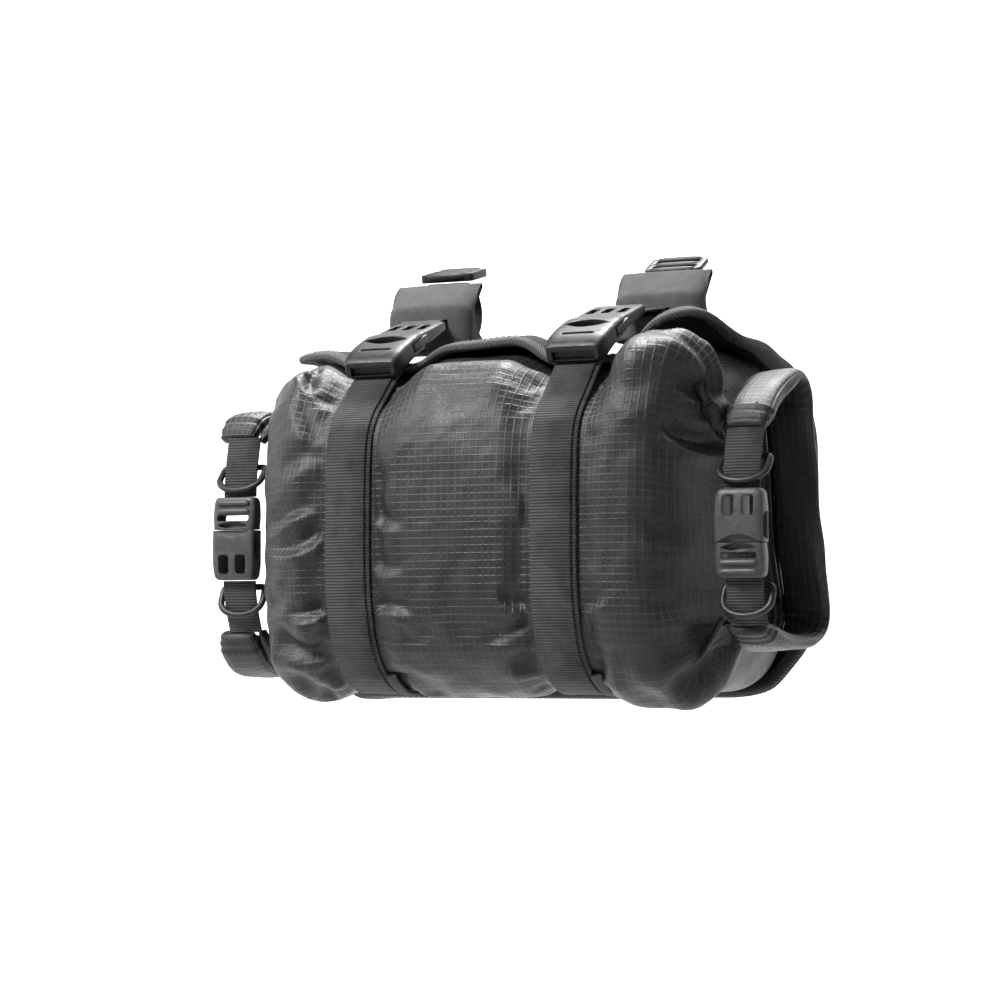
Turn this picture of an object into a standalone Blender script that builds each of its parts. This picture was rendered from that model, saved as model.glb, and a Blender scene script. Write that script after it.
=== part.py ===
"""Handlebar roll bag with its harness, straps, buckles, foam spacers and bar straps.

Frame: metres, +Z up, the bar runs along X with its axis through the origin, the bag's
front faces -Y. Soft pieces are built from section tables whose rows hold shares of the
named sizes below, so one change of a size carries through every piece that rests on it.
"""

import math

import bmesh
import bpy
from mathutils import Vector

# The bar that carries the bag, and the play left between pieces.
BAR_RADIUS = 0.0159
PIECE_GAP = 0.0003
NARROW_GAP = 0.0004

# The bag's round middle: half its depth and height, and where its back and top lie.
BODY_HALF_DEPTH = 0.095
BODY_HALF_HEIGHT = 0.0985
BODY_BACK = 0.050
BODY_TOP = -0.029
BODY_CENTRE_Y = BODY_BACK - BODY_HALF_DEPTH
BODY_CENTRE_Z = BODY_TOP - BODY_HALF_HEIGHT
BODY_SQUARENESS = 3.4
BODY_WALL = 0.0016
BODY_AROUND = 44
FRONT_TURN = math.radians(58.0)

# The flattened necks at both ends, and the rolls that close them.
NECK_LEFT = -0.1460
NECK_RIGHT = 0.1395
NECK_THICKNESS = 0.0056
ROLL_WIDTH = 0.0265
ROLL_THICKNESS = 0.0125
ROLL_GAP = 0.0004
ROLL_TIP_SHARE = 0.012
ROLL_FIRST_SHARE = 0.05
ROLL_STEPS = 18

# Webbing: the two straps round the bag, and the narrower closure webbing.
STRAP_WIDTH = 0.0254
STRAP_THICKNESS = 0.0016
STRAP_LEFT = -0.0635
STRAP_RIGHT = 0.0600
STRAP_PRESS = 0.0045
CLOSURE_WEBBING_WIDTH = 0.021

# The padded harness panel and its bound edge.
HARNESS_THICKNESS = 0.0045
HARNESS_LEFT = -0.134
HARNESS_RIGHT = 0.129
HARNESS_PRESS = 0.0038
HARNESS_UNDER = 0.0062
BUCKLE_DIP = 0.0095
BINDING_WIDTH = 0.0095
BINDING_HEIGHT = 0.0062
BINDING_GAP = 0.0006

# The strap buckles on top, and the closure buckles at the ends.
TOP_BUCKLE_WIDTH = 0.0345
TOP_BUCKLE_LENGTH = 0.068
TOP_BUCKLE_THICKNESS = 0.0115
END_BUCKLE_WIDTH = 0.0275
END_BUCKLE_THICKNESS = 0.0110
D_RING_WIRE = 0.0019

# Foam spacers in front of the bar.
SPACER_WIDTH = 0.054
SPACER_FRONT = 0.0285
SPACER_BOTTOM = 0.0240
SPACER_LEFT = -0.0735
SPACER_RIGHT = 0.0705
SPACER_ROUNDING = 0.015
SPACER_INSET = 0.0080

# Along the bag, left to right: share of the way to the left or right neck, shares of half
# depth and half height, and how far it has closed into the flat neck.
BODY_ROWS = (
    # along, depth, height, closed
    (-1.000, 0.560, 0.640, 1.000),
    (-0.989, 0.565, 0.660, 1.000),
    (-0.979, 0.575, 0.690, 0.720),
    (-0.962, 0.600, 0.740, 0.300),
    (-0.935, 0.660, 0.800, 0.130),
    (-0.884, 0.770, 0.880, 0.050),
    (-0.808, 0.880, 0.950, 0.010),
    (-0.712, 0.955, 0.995, 0.000),
    (-0.630, 0.985, 0.996, 0.000),
    (-0.233, 0.995, 1.000, 0.000),
    (0.000, 1.000, 1.000, 0.000),
    (0.229, 0.995, 1.000, 0.000),
    (0.631, 0.983, 0.995, 0.000),
    (0.731, 0.970, 1.000, 0.000),
    (0.810, 0.950, 1.000, 0.020),
    (0.875, 0.915, 0.975, 0.120),
    (0.925, 0.880, 0.930, 0.360),
    (0.961, 0.850, 0.890, 0.700),
    (0.986, 0.830, 0.860, 1.000),
    (1.000, 0.825, 0.850, 1.000),
)

# Middle line of each flat neck and roll, as a C seen from the end: shares of half depth
# and half height from the section's centre, from the upper tip by the front buckle, over
# the top and down the back, to the lower tip.
RIGHT_CLOSURE = (
    # depth, height
    (-0.516, 0.457),
    (-0.432, 0.538),
    (-0.305, 0.640),
    (-0.158, 0.736),
    (-0.021, 0.782),
    (0.074, 0.716),
    (0.116, 0.563),
    (0.168, 0.330),
    (0.211, 0.076),
    (0.263, -0.178),
    (0.337, -0.381),
    (0.358, -0.513),
    (0.295, -0.594),
    (0.126, -0.635),
    (-0.084, -0.635),
    (-0.295, -0.604),
    (-0.528, -0.545),
)
LEFT_CLOSURE = (
    # depth, height
    (-0.479, 0.492),
    (-0.400, 0.574),
    (-0.274, 0.604),
    (-0.116, 0.594),
    (0.032, 0.563),
    (0.147, 0.482),
    (0.211, 0.330),
    (0.242, 0.127),
    (0.253, -0.076),
    (0.253, -0.310),
    (0.242, -0.513),
    (0.179, -0.665),
    (0.053, -0.756),
    (-0.137, -0.777),
    (-0.326, -0.726),
    (-0.479, -0.569),
)

# Dents and folds of the bag's cloth: where along the bag (share of the way to the neck)
# and round it (degrees from the front, up positive), the run of the fold in degrees off
# the bag's axis, and its half length, half width and depth as shares of half height.
BODY_FOLDS = (
    # along, round, lean, length, width, inward
    (-0.589, 6.0, 18.0, 0.200, 0.071, 0.030),
    (-0.568, -28.0, 35.0, 0.220, 0.081, 0.041),
    (0.251, -34.0, -20.0, 0.180, 0.071, 0.030),
    (0.602, -34.0, 25.0, 0.180, 0.071, 0.030),
    (0.774, 66.0, 0.000, 0.240, 0.284, -0.122),
    (0.746, -66.0, 0.000, 0.260, 0.244, -0.030),
    (0.753, 38.0, 62.0, 0.300, 0.091, 0.051),
    (0.738, 14.0, 28.0, 0.220, 0.091, 0.046),
    (0.803, -44.0, -48.0, 0.320, 0.071, 0.061),
    (0.846, -60.0, -48.0, 0.260, 0.081, -0.041),
    (-0.808, -40.0, 40.0, 0.260, 0.071, 0.051),
    (-0.719, -62.0, 52.0, 0.260, 0.081, 0.041),
    (-0.767, 18.0, 24.0, 0.240, 0.081, 0.036),
)

# Where the straps run: rows under the buckle are a share of its length back from its
# front edge and strap thicknesses below it; steps count round the bag's section, zero at
# the front.
STRAP_CLEARANCE = 0.0008
STRAP_TOP_ROWS = (
    # back, low
    (0.147, -0.625),
    (0.059, -0.187),
    (-0.006, 1.875),
)
STRAP_FIRST_STEP = 4
STRAP_LAST_STEP = -10
TAB_WIDTH = 0.0068
TAB_RISE = 0.0020
TAB_FIRST_STEP = -6
TAB_LAST_STEP = -9

# The harness: how it stands off, how its corners round, and where its edges run. Its
# tables start with the share of the way to its left or right end.
HARNESS_SEAT = 0.0016
HARNESS_CORNER = 0.030
HARNESS_CORNER_DEGREES = 8.0
HARNESS_BOTTOM_ROWS = (
    # along, degrees
    (-1.000, 256.0),
    (-0.709, 272.0),
    (0.659, 272.0),
    (1.000, 232.0),
)
HARNESS_ROWS = (
    # along, depth, height
    (-1.000, 0.960, 0.990),
    (-0.746, 1.000, 1.005),
    (0.000, 1.004, 1.004),
    (0.775, 1.000, 1.005),
    (0.907, 0.975, 0.995),
    (1.000, 0.900, 0.925),
)
# Where the panel's front edge lies on top of the bag, and how far it springs up there,
# as a share of the bag's half height.
HARNESS_TOP_ROWS = (
    # along, degrees, lift
    (-1.000, 85.0, 0.030),
    (-0.746, 82.0, 0.010),
    (-0.299, 78.0, 0.020),
    (0.000, 76.0, 0.061),
    (0.310, 77.0, 0.091),
    (0.620, 79.0, 0.081),
    (0.775, 81.0, 0.173),
    (0.876, 84.0, 0.244),
    (1.000, 87.0, 0.122),
)
PANEL_COLUMNS = 19
PANEL_ROWS = 15
HARNESS_LIFT_FLAT = 2.0
HARNESS_LIFT_EDGE = 17.0
HARNESS_COVER = {-1: 72.0, 1: 50.0}
HARNESS_COVER_EDGE = 14.0
# The harness's lower edge, which lifts the bag's underside between the two end lobes.
UNDER_MIDDLE = 250.0
UNDER_FLAT = 28.0
UNDER_EDGE = 16.0
LOBE_START = 0.62
LOBE_EDGE = 0.34
LOBE_KEEP = 0.45
# How the straps and buckles press in: the flat of their mark as a share of their width,
# and how far the cloth takes to rise beside them.
STRAP_MARK = 0.60
STRAP_MARK_EDGE = 0.016
STRAP_MARK_MIDDLE = -14.0
STRAP_MARK_FLAT = 78.0
STRAP_MARK_FADE = 24.0
BUCKLE_MARK = 0.52
BUCKLE_MARK_EDGE = 0.024
BUCKLE_MARK_MIDDLE = 68.0
BUCKLE_MARK_FLAT = 24.0
BUCKLE_MARK_FADE = 30.0
BUCKLE_LIFT_EDGE = 0.018
# Folds fade out towards the parts of the bag that the harness covers.
FOLD_MIDDLE = 9.0
FOLD_FLAT = 66.0
FOLD_FADE = 14.0
FOLD_STRAP_EDGE = 0.014

# The top buckles: how far forward on the bag (share of half depth) and how far below
# its top their front edge sits, and how far they tilt up to the rear. Their sections
# are shares of their length, width and thickness.
BUCKLE_REACH = 0.716
BUCKLE_DROP = {-1: 0.0080, 1: 0.0045}
BUCKLE_TILT = math.radians(24.5)
BUCKLE_FRONT_ROWS = (
    # back, wide, crown, depth
    (0.000, 0.95, 1.00, 0.96),
    (0.035, 1.00, 1.14, 0.96),
    (0.120, 1.00, 1.24, 0.90),
    (0.260, 1.00, 1.32, 0.74),
    (0.420, 0.98, 1.34, 0.66),
    (0.540, 0.94, 1.26, 0.62),
)
BUCKLE_REAR_ROWS = (
    # back, wide, crown, depth
    (0.546, 0.86, 1.22, 0.60),
    (0.700, 0.90, 1.12, 0.58),
    (0.880, 0.90, 0.98, 0.56),
    (0.970, 0.88, 0.88, 0.56),
    (1.000, 0.82, 0.80, 0.54),
)
BUCKLE_CHAMFER = 0.14
BUCKLE_SLOT_LEVEL = 0.45
BUCKLE_SLOTS = (
    # name, half, back, across, wide, long, deep
    ("strap_slot", "front", 0.160, 0.000, 0.522, 0.032, 1.000),
    ("window_slot", "front", 0.330, 0.000, 0.696, 0.103, 1.000),
    ("left_hole", "rear", 0.760, -0.267, 0.145, 0.162, 1.200),
    ("middle_hole", "rear", 0.760, 0.000, 0.162, 0.162, 1.200),
    ("right_hole", "rear", 0.760, 0.267, 0.145, 0.162, 1.200),
)

# End closures: the line their webbing and buckle follow, in shares of half height from
# the section's centre, of the roll's width out from the neck and of half depth, and the
# levels along it in shares of half height.
RIGHT_CHAIN = (
    # height, across, depth
    (0.452, 0.528, -0.553),
    (0.178, 0.547, -0.611),
    (-0.076, 0.566, -0.632),
    (-0.330, 0.585, -0.611),
    (-0.584, 0.604, -0.542),
)
LEFT_CHAIN = (
    # height, across, depth
    (0.584, 0.226, -0.526),
    (0.228, 0.283, -0.579),
    (-0.076, 0.302, -0.600),
    (-0.330, 0.283, -0.579),
    (-0.584, 0.264, -0.505),
)
# Levels: webbing's top, buckle's middle, webbing's low end; and how far beyond the
# buckle's ends the middles of the D-rings lie.
RIGHT_LEVELS = (0.480, -0.081, -0.563)
LEFT_LEVELS = (0.522, -0.056, -0.584)
UPPER_RING_AWAY = 0.0100
LOWER_RING_AWAY = 0.0125
END_BUCKLE_LENGTH = 0.0465
END_BUCKLE_CHAMFER = 0.16
UPPER_RING_LEAN = math.radians(40.0)
LOWER_RING_LEAN = math.radians(22.0)
D_RING_HEIGHT = 0.0190
D_RING_PLAY = 0.0012
D_RING_ROWS = (
    # across, level: down the ring from its straight bar
    (-0.55, -1.00),
    (0.55, -1.00),
    (0.95, -0.86),
    (1.00, -0.40),
    (1.00, 0.15),
    (0.82, 0.62),
    (0.45, 0.93),
    (0.00, 1.00),
    (-0.45, 0.93),
    (-0.82, 0.62),
    (-1.00, 0.15),
    (-1.00, -0.40),
    (-0.95, -0.86),
)
END_SOCKET_ROWS = (
    # level, wide, front, back
    (1.00, 0.80, 0.36, 0.36),
    (0.90, 0.94, 0.48, 0.46),
    (0.55, 1.00, 0.56, 0.50),
    (0.05, 1.00, 0.58, 0.50),
    (-0.20, 1.00, 0.54, 0.50),
)
END_PLUG_ROWS = (
    # level, wide, front, back
    (-0.22, 0.96, 0.50, 0.46),
    (-0.55, 1.00, 0.46, 0.46),
    (-0.88, 0.98, 0.40, 0.44),
    (-1.00, 0.86, 0.34, 0.36),
)
END_BUCKLE_SLOTS = (
    # name, half, level, across, wide, tall
    ("window_left", "socket", 0.62, -0.34, 0.14, 0.20),
    ("window_right", "socket", 0.62, 0.34, 0.14, 0.20),
    ("webbing_slot", "plug", -0.48, 0.0, 0.62, 0.08),
)

# Foam spacers: the bed for the bar, the bevelled top and the slot for the webbing.
SPACER_BACK = 0.0040
SPACER_LIP = 0.0006
SPACER_BED = 0.0186
SPACER_SHOULDER = 0.0010
SPACER_CHAMFER = 0.0180
SPACER_TOP = 0.0172
SLOT_LEFT = -0.0730
SLOT_RIGHT = 0.0660
SLOT_WIDTH = 0.0280
SLOT_HEIGHT = 0.0040
SLOT_LEVEL = -0.0085
SLOT_ENTRY = 0.0055
SLOT_REST = 0.0020
SLOT_RISE = 0.0005
MOUNT_CLEARANCE = 0.0004
WRAP_START = 206.0
WRAP_TURN = 252.0
WRAP_STEPS = 22

# The adjusters on the bar: where each sits, in shares of its own width and of the bar's
# radius, how it leans, and its length and thickness as shares of its width.
LOCK_WIDTH = 0.0345
LOCK_FRAME = 0.0040
LOCK_SLOT = 0.0037
LOCK_ROWS = {
    # across, back, up, lean in degrees, length, thickness
    "left": (-0.029, 0.503, 1.459, 14.0, 0.609, 0.139),
    "right": (-0.029, 0.943, 1.384, 30.0, 0.493, 0.093),
}
LOCK_SLOTS = (
    # name, share of the length from the middle
    ("front_slot", -0.25),
    ("rear_slot", 0.22),
)

# Finish of each kind of piece: colour, roughness and metallic, and the pieces' names.
FINISHES = {
    "coated_cloth": ((0.058, 0.058, 0.062), 0.60, 0.0),
    "padded_cloth": ((0.030, 0.030, 0.032), 0.80, 0.0),
    "binding_tape": ((0.042, 0.042, 0.044), 0.85, 0.0),
    "webbing": ((0.046, 0.046, 0.048), 0.82, 0.0),
    "foam": ((0.100, 0.100, 0.102), 0.95, 0.0),
    "moulded_plastic": ((0.040, 0.040, 0.042), 0.45, 0.0),
}
PIECE_FINISHES = (
    # beginning of the name, finish
    ("bag_body", "coated_cloth"),
    ("roll_", "coated_cloth"),
    ("harness_panel", "padded_cloth"),
    ("harness_binding", "binding_tape"),
    ("foam_spacer", "foam"),
    ("strap_", "webbing"),
    ("bar_strap", "webbing"),
    ("closure_webbing", "webbing"),
    ("", "moulded_plastic"),
)


def interpolate(rows, key, column):
    """Smooth value of a table column at a key, held flat beyond the first and last row."""
    if key <= rows[0][0]:
        return rows[0][column]
    for low, high in zip(rows, rows[1:]):
        if key <= high[0]:
            share = (key - low[0]) / (high[0] - low[0])
            share = share * share * (3.0 - 2.0 * share)
            return low[column] + (high[column] - low[column]) * share
    return rows[-1][column]


def placed(rows, left, right):
    """A table with its first column, the share of the way to an end, made metres."""
    return [(row[0] * (right if row[0] > 0.0 else -left), *row[1:]) for row in rows]


def section_place(depth, height):
    """Place in the bag's section, from shares of its half depth and half height."""
    return (BODY_CENTRE_Y + depth * BODY_HALF_DEPTH, BODY_CENTRE_Z + height * BODY_HALF_HEIGHT)


BODY_SECTIONS = placed(BODY_ROWS, NECK_LEFT, NECK_RIGHT)
FOLDS = placed(BODY_FOLDS, NECK_LEFT, NECK_RIGHT)
HARNESS_SECTIONS = placed(HARNESS_ROWS, HARNESS_LEFT, HARNESS_RIGHT)
HARNESS_TOP = placed(HARNESS_TOP_ROWS, HARNESS_LEFT, HARNESS_RIGHT)
HARNESS_BOTTOM = placed(HARNESS_BOTTOM_ROWS, HARNESS_LEFT, HARNESS_RIGHT)


def arc_lengths(points):
    """Running length along a list of points."""
    lengths = [0.0]
    for first, second in zip(points, points[1:]):
        lengths.append(lengths[-1] + (Vector(second) - Vector(first)).length)
    return lengths


def smooth_point(points, share):
    """Point at a share of the way along a smooth curve through the points."""
    lengths = arc_lengths(points)
    wanted = min(max(share, 0.0), 1.0) * lengths[-1]
    index = 0
    while index < len(points) - 2 and lengths[index + 1] < wanted:
        index += 1
    local = (wanted - lengths[index]) / (lengths[index + 1] - lengths[index])
    before = Vector(points[max(index - 1, 0)])
    start = Vector(points[index])
    end = Vector(points[index + 1])
    after = Vector(points[min(index + 2, len(points) - 1)])
    square = local * local
    cube = square * local
    return 0.5 * (
        2.0 * start
        + (end - before) * local
        + (2.0 * before - 5.0 * start + 4.0 * end - after) * square
        + (3.0 * start - before - 3.0 * end + after) * cube
    )


def path_frame(points, share):
    """Point, running direction and left-hand normal of a smooth plane curve (y, z)."""
    step = 0.004
    ahead = smooth_point(points, min(share + step, 1.0))
    behind = smooth_point(points, max(share - step, 0.0))
    along = (ahead - behind).normalized()
    return smooth_point(points, share), along, Vector((-along[1], along[0]))


def neck_point(closure, turn, thickness):
    """Point of the closed neck's outline at a turn from the front, as (y, z).

    The back of the bag becomes the outer side of the C, the front its inner side.
    """
    half = thickness / 2.0
    turn = math.remainder(turn, math.tau)
    if abs(turn) >= FRONT_TURN:
        swept = (math.pi - abs(turn)) / (math.pi - FRONT_TURN)
        share = 0.5 - 0.5 * swept if turn > 0 else 0.5 + 0.5 * swept
        side = 1.0
    else:
        share = 0.5 - 0.5 * turn / FRONT_TURN
        side = -1.0
    point, along, normal = path_frame(closure, share)
    tip = min(share, 1.0 - share)
    length = arc_lengths(closure)[-1] * tip
    if length < half:
        side *= math.sqrt(max(1.0 - (1.0 - length / half) ** 2, 0.0))
    return point + normal * half * side


def closure_of(along):
    """Middle line of the closure at the end on that side, as (y, z) in metres."""
    rows = RIGHT_CLOSURE if along > 0 else LEFT_CLOSURE
    return [section_place(depth, height) for depth, height in rows]


def round_point(along, turn, rows):
    """Point of the round section before any fold, from a table of sections, as (y, z)."""
    depth = BODY_HALF_DEPTH * interpolate(rows, along, 1)
    height = BODY_HALF_HEIGHT * interpolate(rows, along, 2)
    power = 2.0 / BODY_SQUARENESS
    y = -math.copysign(abs(math.cos(turn)) ** power, math.cos(turn)) * depth
    z = math.copysign(abs(math.sin(turn)) ** power, math.sin(turn)) * height
    return Vector((BODY_CENTRE_Y + y, BODY_CENTRE_Z + z))


def round_normal(along, turn, rows):
    """Outward direction of the round section at a turn, as (y, z)."""
    step = math.radians(1.0)
    tangent = round_point(along, turn + step, rows) - round_point(along, turn - step, rows)
    tangent.normalize()
    return Vector((-tangent[1], tangent[0]))


def bump(distance, flat, edge):
    """One within the flat distance, falling smoothly to zero over the edge distance."""
    share = min(max((abs(distance) - flat) / edge, 0.0), 1.0)
    return 1.0 - share * share * (3.0 - 2.0 * share)


def buckle_dip(along, degrees):
    """How far the top buckles press the harness and the bag down."""
    dip = 0.0
    for centre in (STRAP_LEFT, STRAP_RIGHT):
        dip += bump(along - centre, TOP_BUCKLE_WIDTH * BUCKLE_MARK, BUCKLE_MARK_EDGE)
    return BUCKLE_DIP * dip * bump(degrees - BUCKLE_MARK_MIDDLE, BUCKLE_MARK_FLAT, BUCKLE_MARK_FADE)


def under_press(along, degrees):
    """How far the harness's lower edge presses the bag's underside up, less at the lobes."""
    out = along / HARNESS_RIGHT if along > 0.0 else along / HARNESS_LEFT
    lobe = LOBE_KEEP + (1.0 - LOBE_KEEP) * bump(out, LOBE_START, LOBE_EDGE)
    return HARNESS_UNDER * lobe * bump(degrees % 360.0 - UNDER_MIDDLE, UNDER_FLAT, UNDER_EDGE)


def inward_press(along, turn):
    """How far straps, harness and folds push the cloth in at a place on the bag."""
    degrees = math.degrees(math.remainder(turn, math.tau))
    strap = 0.0
    for centre in (STRAP_LEFT, STRAP_RIGHT):
        strap += bump(along - centre, STRAP_WIDTH * STRAP_MARK, STRAP_MARK_EDGE)
    strap *= bump(degrees - STRAP_MARK_MIDDLE, STRAP_MARK_FLAT, STRAP_MARK_FADE) * STRAP_PRESS
    cover = HARNESS_COVER[1 if degrees > 0.0 else -1]
    harness = (1.0 - bump(degrees, cover, HARNESS_COVER_EDGE)) * HARNESS_PRESS
    press = max(strap, harness) + buckle_dip(along, degrees) + under_press(along, degrees)
    radius = (BODY_HALF_DEPTH + BODY_HALF_HEIGHT) / 2.0
    fold = 0.0
    for row_along, row_round, lean, length, width, inward in FOLDS:
        across = math.radians(math.remainder(degrees - row_round, 360.0)) * radius
        away = along - row_along
        lean = math.radians(lean)
        run = away * math.cos(lean) + across * math.sin(lean)
        off = across * math.cos(lean) - away * math.sin(lean)
        spread = (run / (length * BODY_HALF_HEIGHT)) ** 2 + (off / (width * BODY_HALF_HEIGHT)) ** 2
        fold += inward * BODY_HALF_HEIGHT * math.exp(-spread)
    for centre in (STRAP_LEFT, STRAP_RIGHT):
        fold *= 1.0 - bump(along - centre, STRAP_WIDTH * STRAP_MARK, FOLD_STRAP_EDGE)
    return press + fold * bump(degrees - FOLD_MIDDLE, FOLD_FLAT, FOLD_FADE)


def body_point(along, turn):
    """Point of the bag's outer skin."""
    closed = interpolate(BODY_SECTIONS, along, 3)
    surface = round_point(along, turn, BODY_SECTIONS)
    outward = round_normal(along, turn, BODY_SECTIONS)
    surface = surface - outward * inward_press(along, turn) * (1.0 - closed)
    neck = neck_point(closure_of(along), turn, NECK_THICKNESS)
    return Vector((along, *(surface.lerp(neck, closed))))


def mesh_object(name, points, faces, smooth=True):
    """A named object from points and faces, its normals facing out."""
    mesh = bpy.data.meshes.new(name)
    mesh.from_pydata([tuple(point) for point in points], [], faces)
    shape = bmesh.new()
    shape.from_mesh(mesh)
    bmesh.ops.recalc_face_normals(shape, faces=shape.faces)
    if shape.calc_volume(signed=True) < 0:
        bmesh.ops.reverse_faces(shape, faces=shape.faces)
    shape.to_mesh(mesh)
    shape.free()
    made = bpy.data.objects.new(name, mesh)
    PIECES.objects.link(made)
    if smooth:
        shade_by_angle(made)
    return made


def shade_by_angle(made, limit=math.radians(42.0)):
    """Shade smooth, keeping edges sharper than the limit as edges."""
    made.data.shade_smooth()
    shape = bmesh.new()
    shape.from_mesh(made.data)
    for edge in shape.edges:
        if len(edge.link_faces) == 2:
            edge.smooth = edge.calc_face_angle(0.0) < limit
    shape.to_mesh(made.data)
    shape.free()


def ring_faces(rows, around, closed_rows=False, caps=True):
    """Faces that join rows of points into a tube, with end caps or joined ends."""
    faces = []
    count = rows if closed_rows else rows - 1
    for row in range(count):
        following = (row + 1) % rows
        for step in range(around):
            after = (step + 1) % around
            faces.append(
                (
                    row * around + step,
                    row * around + after,
                    following * around + after,
                    following * around + step,
                )
            )
    if caps and not closed_rows:
        faces.append(tuple(reversed(range(around))))
        faces.append(tuple(range((rows - 1) * around, rows * around)))
    return faces


def tube(name, rings, closed_rows=False, smooth=True):
    """A solid from a list of rings with the same number of points."""
    points = [point for ring in rings for point in ring]
    faces = ring_faces(len(rings), len(rings[0]), closed_rows)
    return mesh_object(name, points, faces, smooth)


def band(name, path, width, thickness, centres):
    """Flat webbing along a path of (y, z) points, its width along X."""
    rings = []
    for index, point in enumerate(path):
        before = Vector(path[max(index - 1, 0)])
        after = Vector(path[min(index + 1, len(path) - 1)])
        along = (after - before).normalized()
        normal = Vector((-along[1], along[0])) * (thickness / 2.0)
        here = Vector(point)
        left = centres[index] - width / 2.0
        right = centres[index] + width / 2.0
        rings.append(
            [
                Vector((left, *(here - normal))),
                Vector((right, *(here - normal))),
                Vector((right, *(here + normal))),
                Vector((left, *(here + normal))),
            ]
        )
    return tube(name, rings)


def box(name, size, centre, collection=None, turn=None):
    """A box of a size at a centre, turned about X."""
    half = Vector(size) / 2.0
    corners = [
        Vector((x * half.x, y * half.y, z * half.z))
        for z in (-1, 1)
        for x, y in ((-1, -1), (1, -1), (1, 1), (-1, 1))
    ]
    mesh = bpy.data.meshes.new(name)
    faces = [(3, 2, 1, 0), (4, 5, 6, 7), (0, 1, 5, 4), (1, 2, 6, 5), (2, 3, 7, 6), (3, 0, 4, 7)]
    mesh.from_pydata([tuple(corner) for corner in corners], [], faces)
    made = bpy.data.objects.new(name, mesh)
    made.location = centre
    if turn is not None:
        made.rotation_euler = (turn, 0.0, 0.0)
    (collection or PIECES).objects.link(made)
    return made


def cutter(name, size, centre, turn=None):
    """A box that only cuts: drawn as wire, never rendered."""
    made = box(name, size, centre, CUTTERS, turn)
    made.hide_render = True
    made.display_type = "WIRE"
    return made


def cut(target, tool):
    """Take a cutter out of a piece."""
    boolean = target.modifiers.new(f"cut_{tool.name}", "BOOLEAN")
    boolean.object = tool
    boolean.operation = "DIFFERENCE"
    boolean.solver = "EXACT"


def round_edges(target, width, segments=1, limit=math.radians(50.0)):
    """Round a piece's sharp edges."""
    bevel = target.modifiers.new("rounded_edges", "BEVEL")
    bevel.width = width
    bevel.segments = segments
    bevel.limit_method = "ANGLE"
    bevel.angle_limit = limit


def spaced(first, last, count):
    """Evenly spaced numbers from first to last."""
    return [first + (last - first) * index / (count - 1) for index in range(count)]


def build_body():
    """The bag: one hollow sleeve of cloth, flattened at both ends where it rolls up."""
    stations = [row[0] for row in BODY_SECTIONS]
    for centre in (STRAP_LEFT, STRAP_RIGHT):
        stations += [centre - STRAP_WIDTH * STRAP_MARK, centre + STRAP_WIDTH * STRAP_MARK]
    turns = [math.tau * step / BODY_AROUND for step in range(BODY_AROUND)]
    rings = [[body_point(along, turn) for turn in turns] for along in sorted(stations)]
    points = [point for ring in rings for point in ring]
    faces = ring_faces(len(rings), BODY_AROUND, caps=False)
    made = mesh_object("bag_body", points, faces)
    wall = made.modifiers.new("cloth_wall", "SOLIDIFY")
    wall.thickness = BODY_WALL
    wall.offset = -1.0
    wall.use_rim = True
    return made


def build_roll(name, side):
    """A rolled-up closure: the neck turned over on itself into a soft flat tube."""
    rings = []
    closure = closure_of(side)
    neck = NECK_RIGHT if side > 0 else NECK_LEFT
    centre = neck + side * (ROLL_GAP + ROLL_WIDTH / 2.0)
    half_width = ROLL_WIDTH / 2.0
    half_thickness = ROLL_THICKNESS / 2.0
    tip = [0.0, ROLL_TIP_SHARE]
    shares = tip + spaced(ROLL_FIRST_SHARE, 1.0 - ROLL_FIRST_SHARE, ROLL_STEPS)
    shares += [1.0 - share for share in reversed(tip)]
    for share in shares:
        point, _, normal = path_frame(closure, share)
        end = min(share, 1.0 - share)
        size = 0.72 if end < 0.006 else (0.93 if end < 0.03 else 1.0)
        ring = []
        for step in range(10):
            angle = math.tau * step / 10
            across = math.copysign(abs(math.cos(angle)) ** 0.75, math.cos(angle)) * half_width
            out = math.copysign(abs(math.sin(angle)) ** 0.75, math.sin(angle)) * half_thickness
            place = point + normal * (out * size + (ROLL_THICKNESS - NECK_THICKNESS) / 2.0)
            ring.append(Vector((centre + across * size, *place)))
        rings.append(ring)
    return tube(name, rings)


def section_normal(along, turn):
    """Outward direction of the bag's skin in its own section, as (y, z)."""
    step = math.radians(2.0)
    ahead = body_point(along, turn + step)
    behind = body_point(along, turn - step)
    tangent = Vector((ahead.y - behind.y, ahead.z - behind.z)).normalized()
    return Vector((-tangent[1], tangent[0]))


def strap_path_point(centre, edge, turn, away):
    """Point at a strap's edge, held off the bag's skin along the strap's middle."""
    skin = body_point(centre, turn)
    off = section_normal(centre, turn) * away
    return Vector((centre + edge, skin.y + off[0], skin.z + off[1]))


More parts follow.
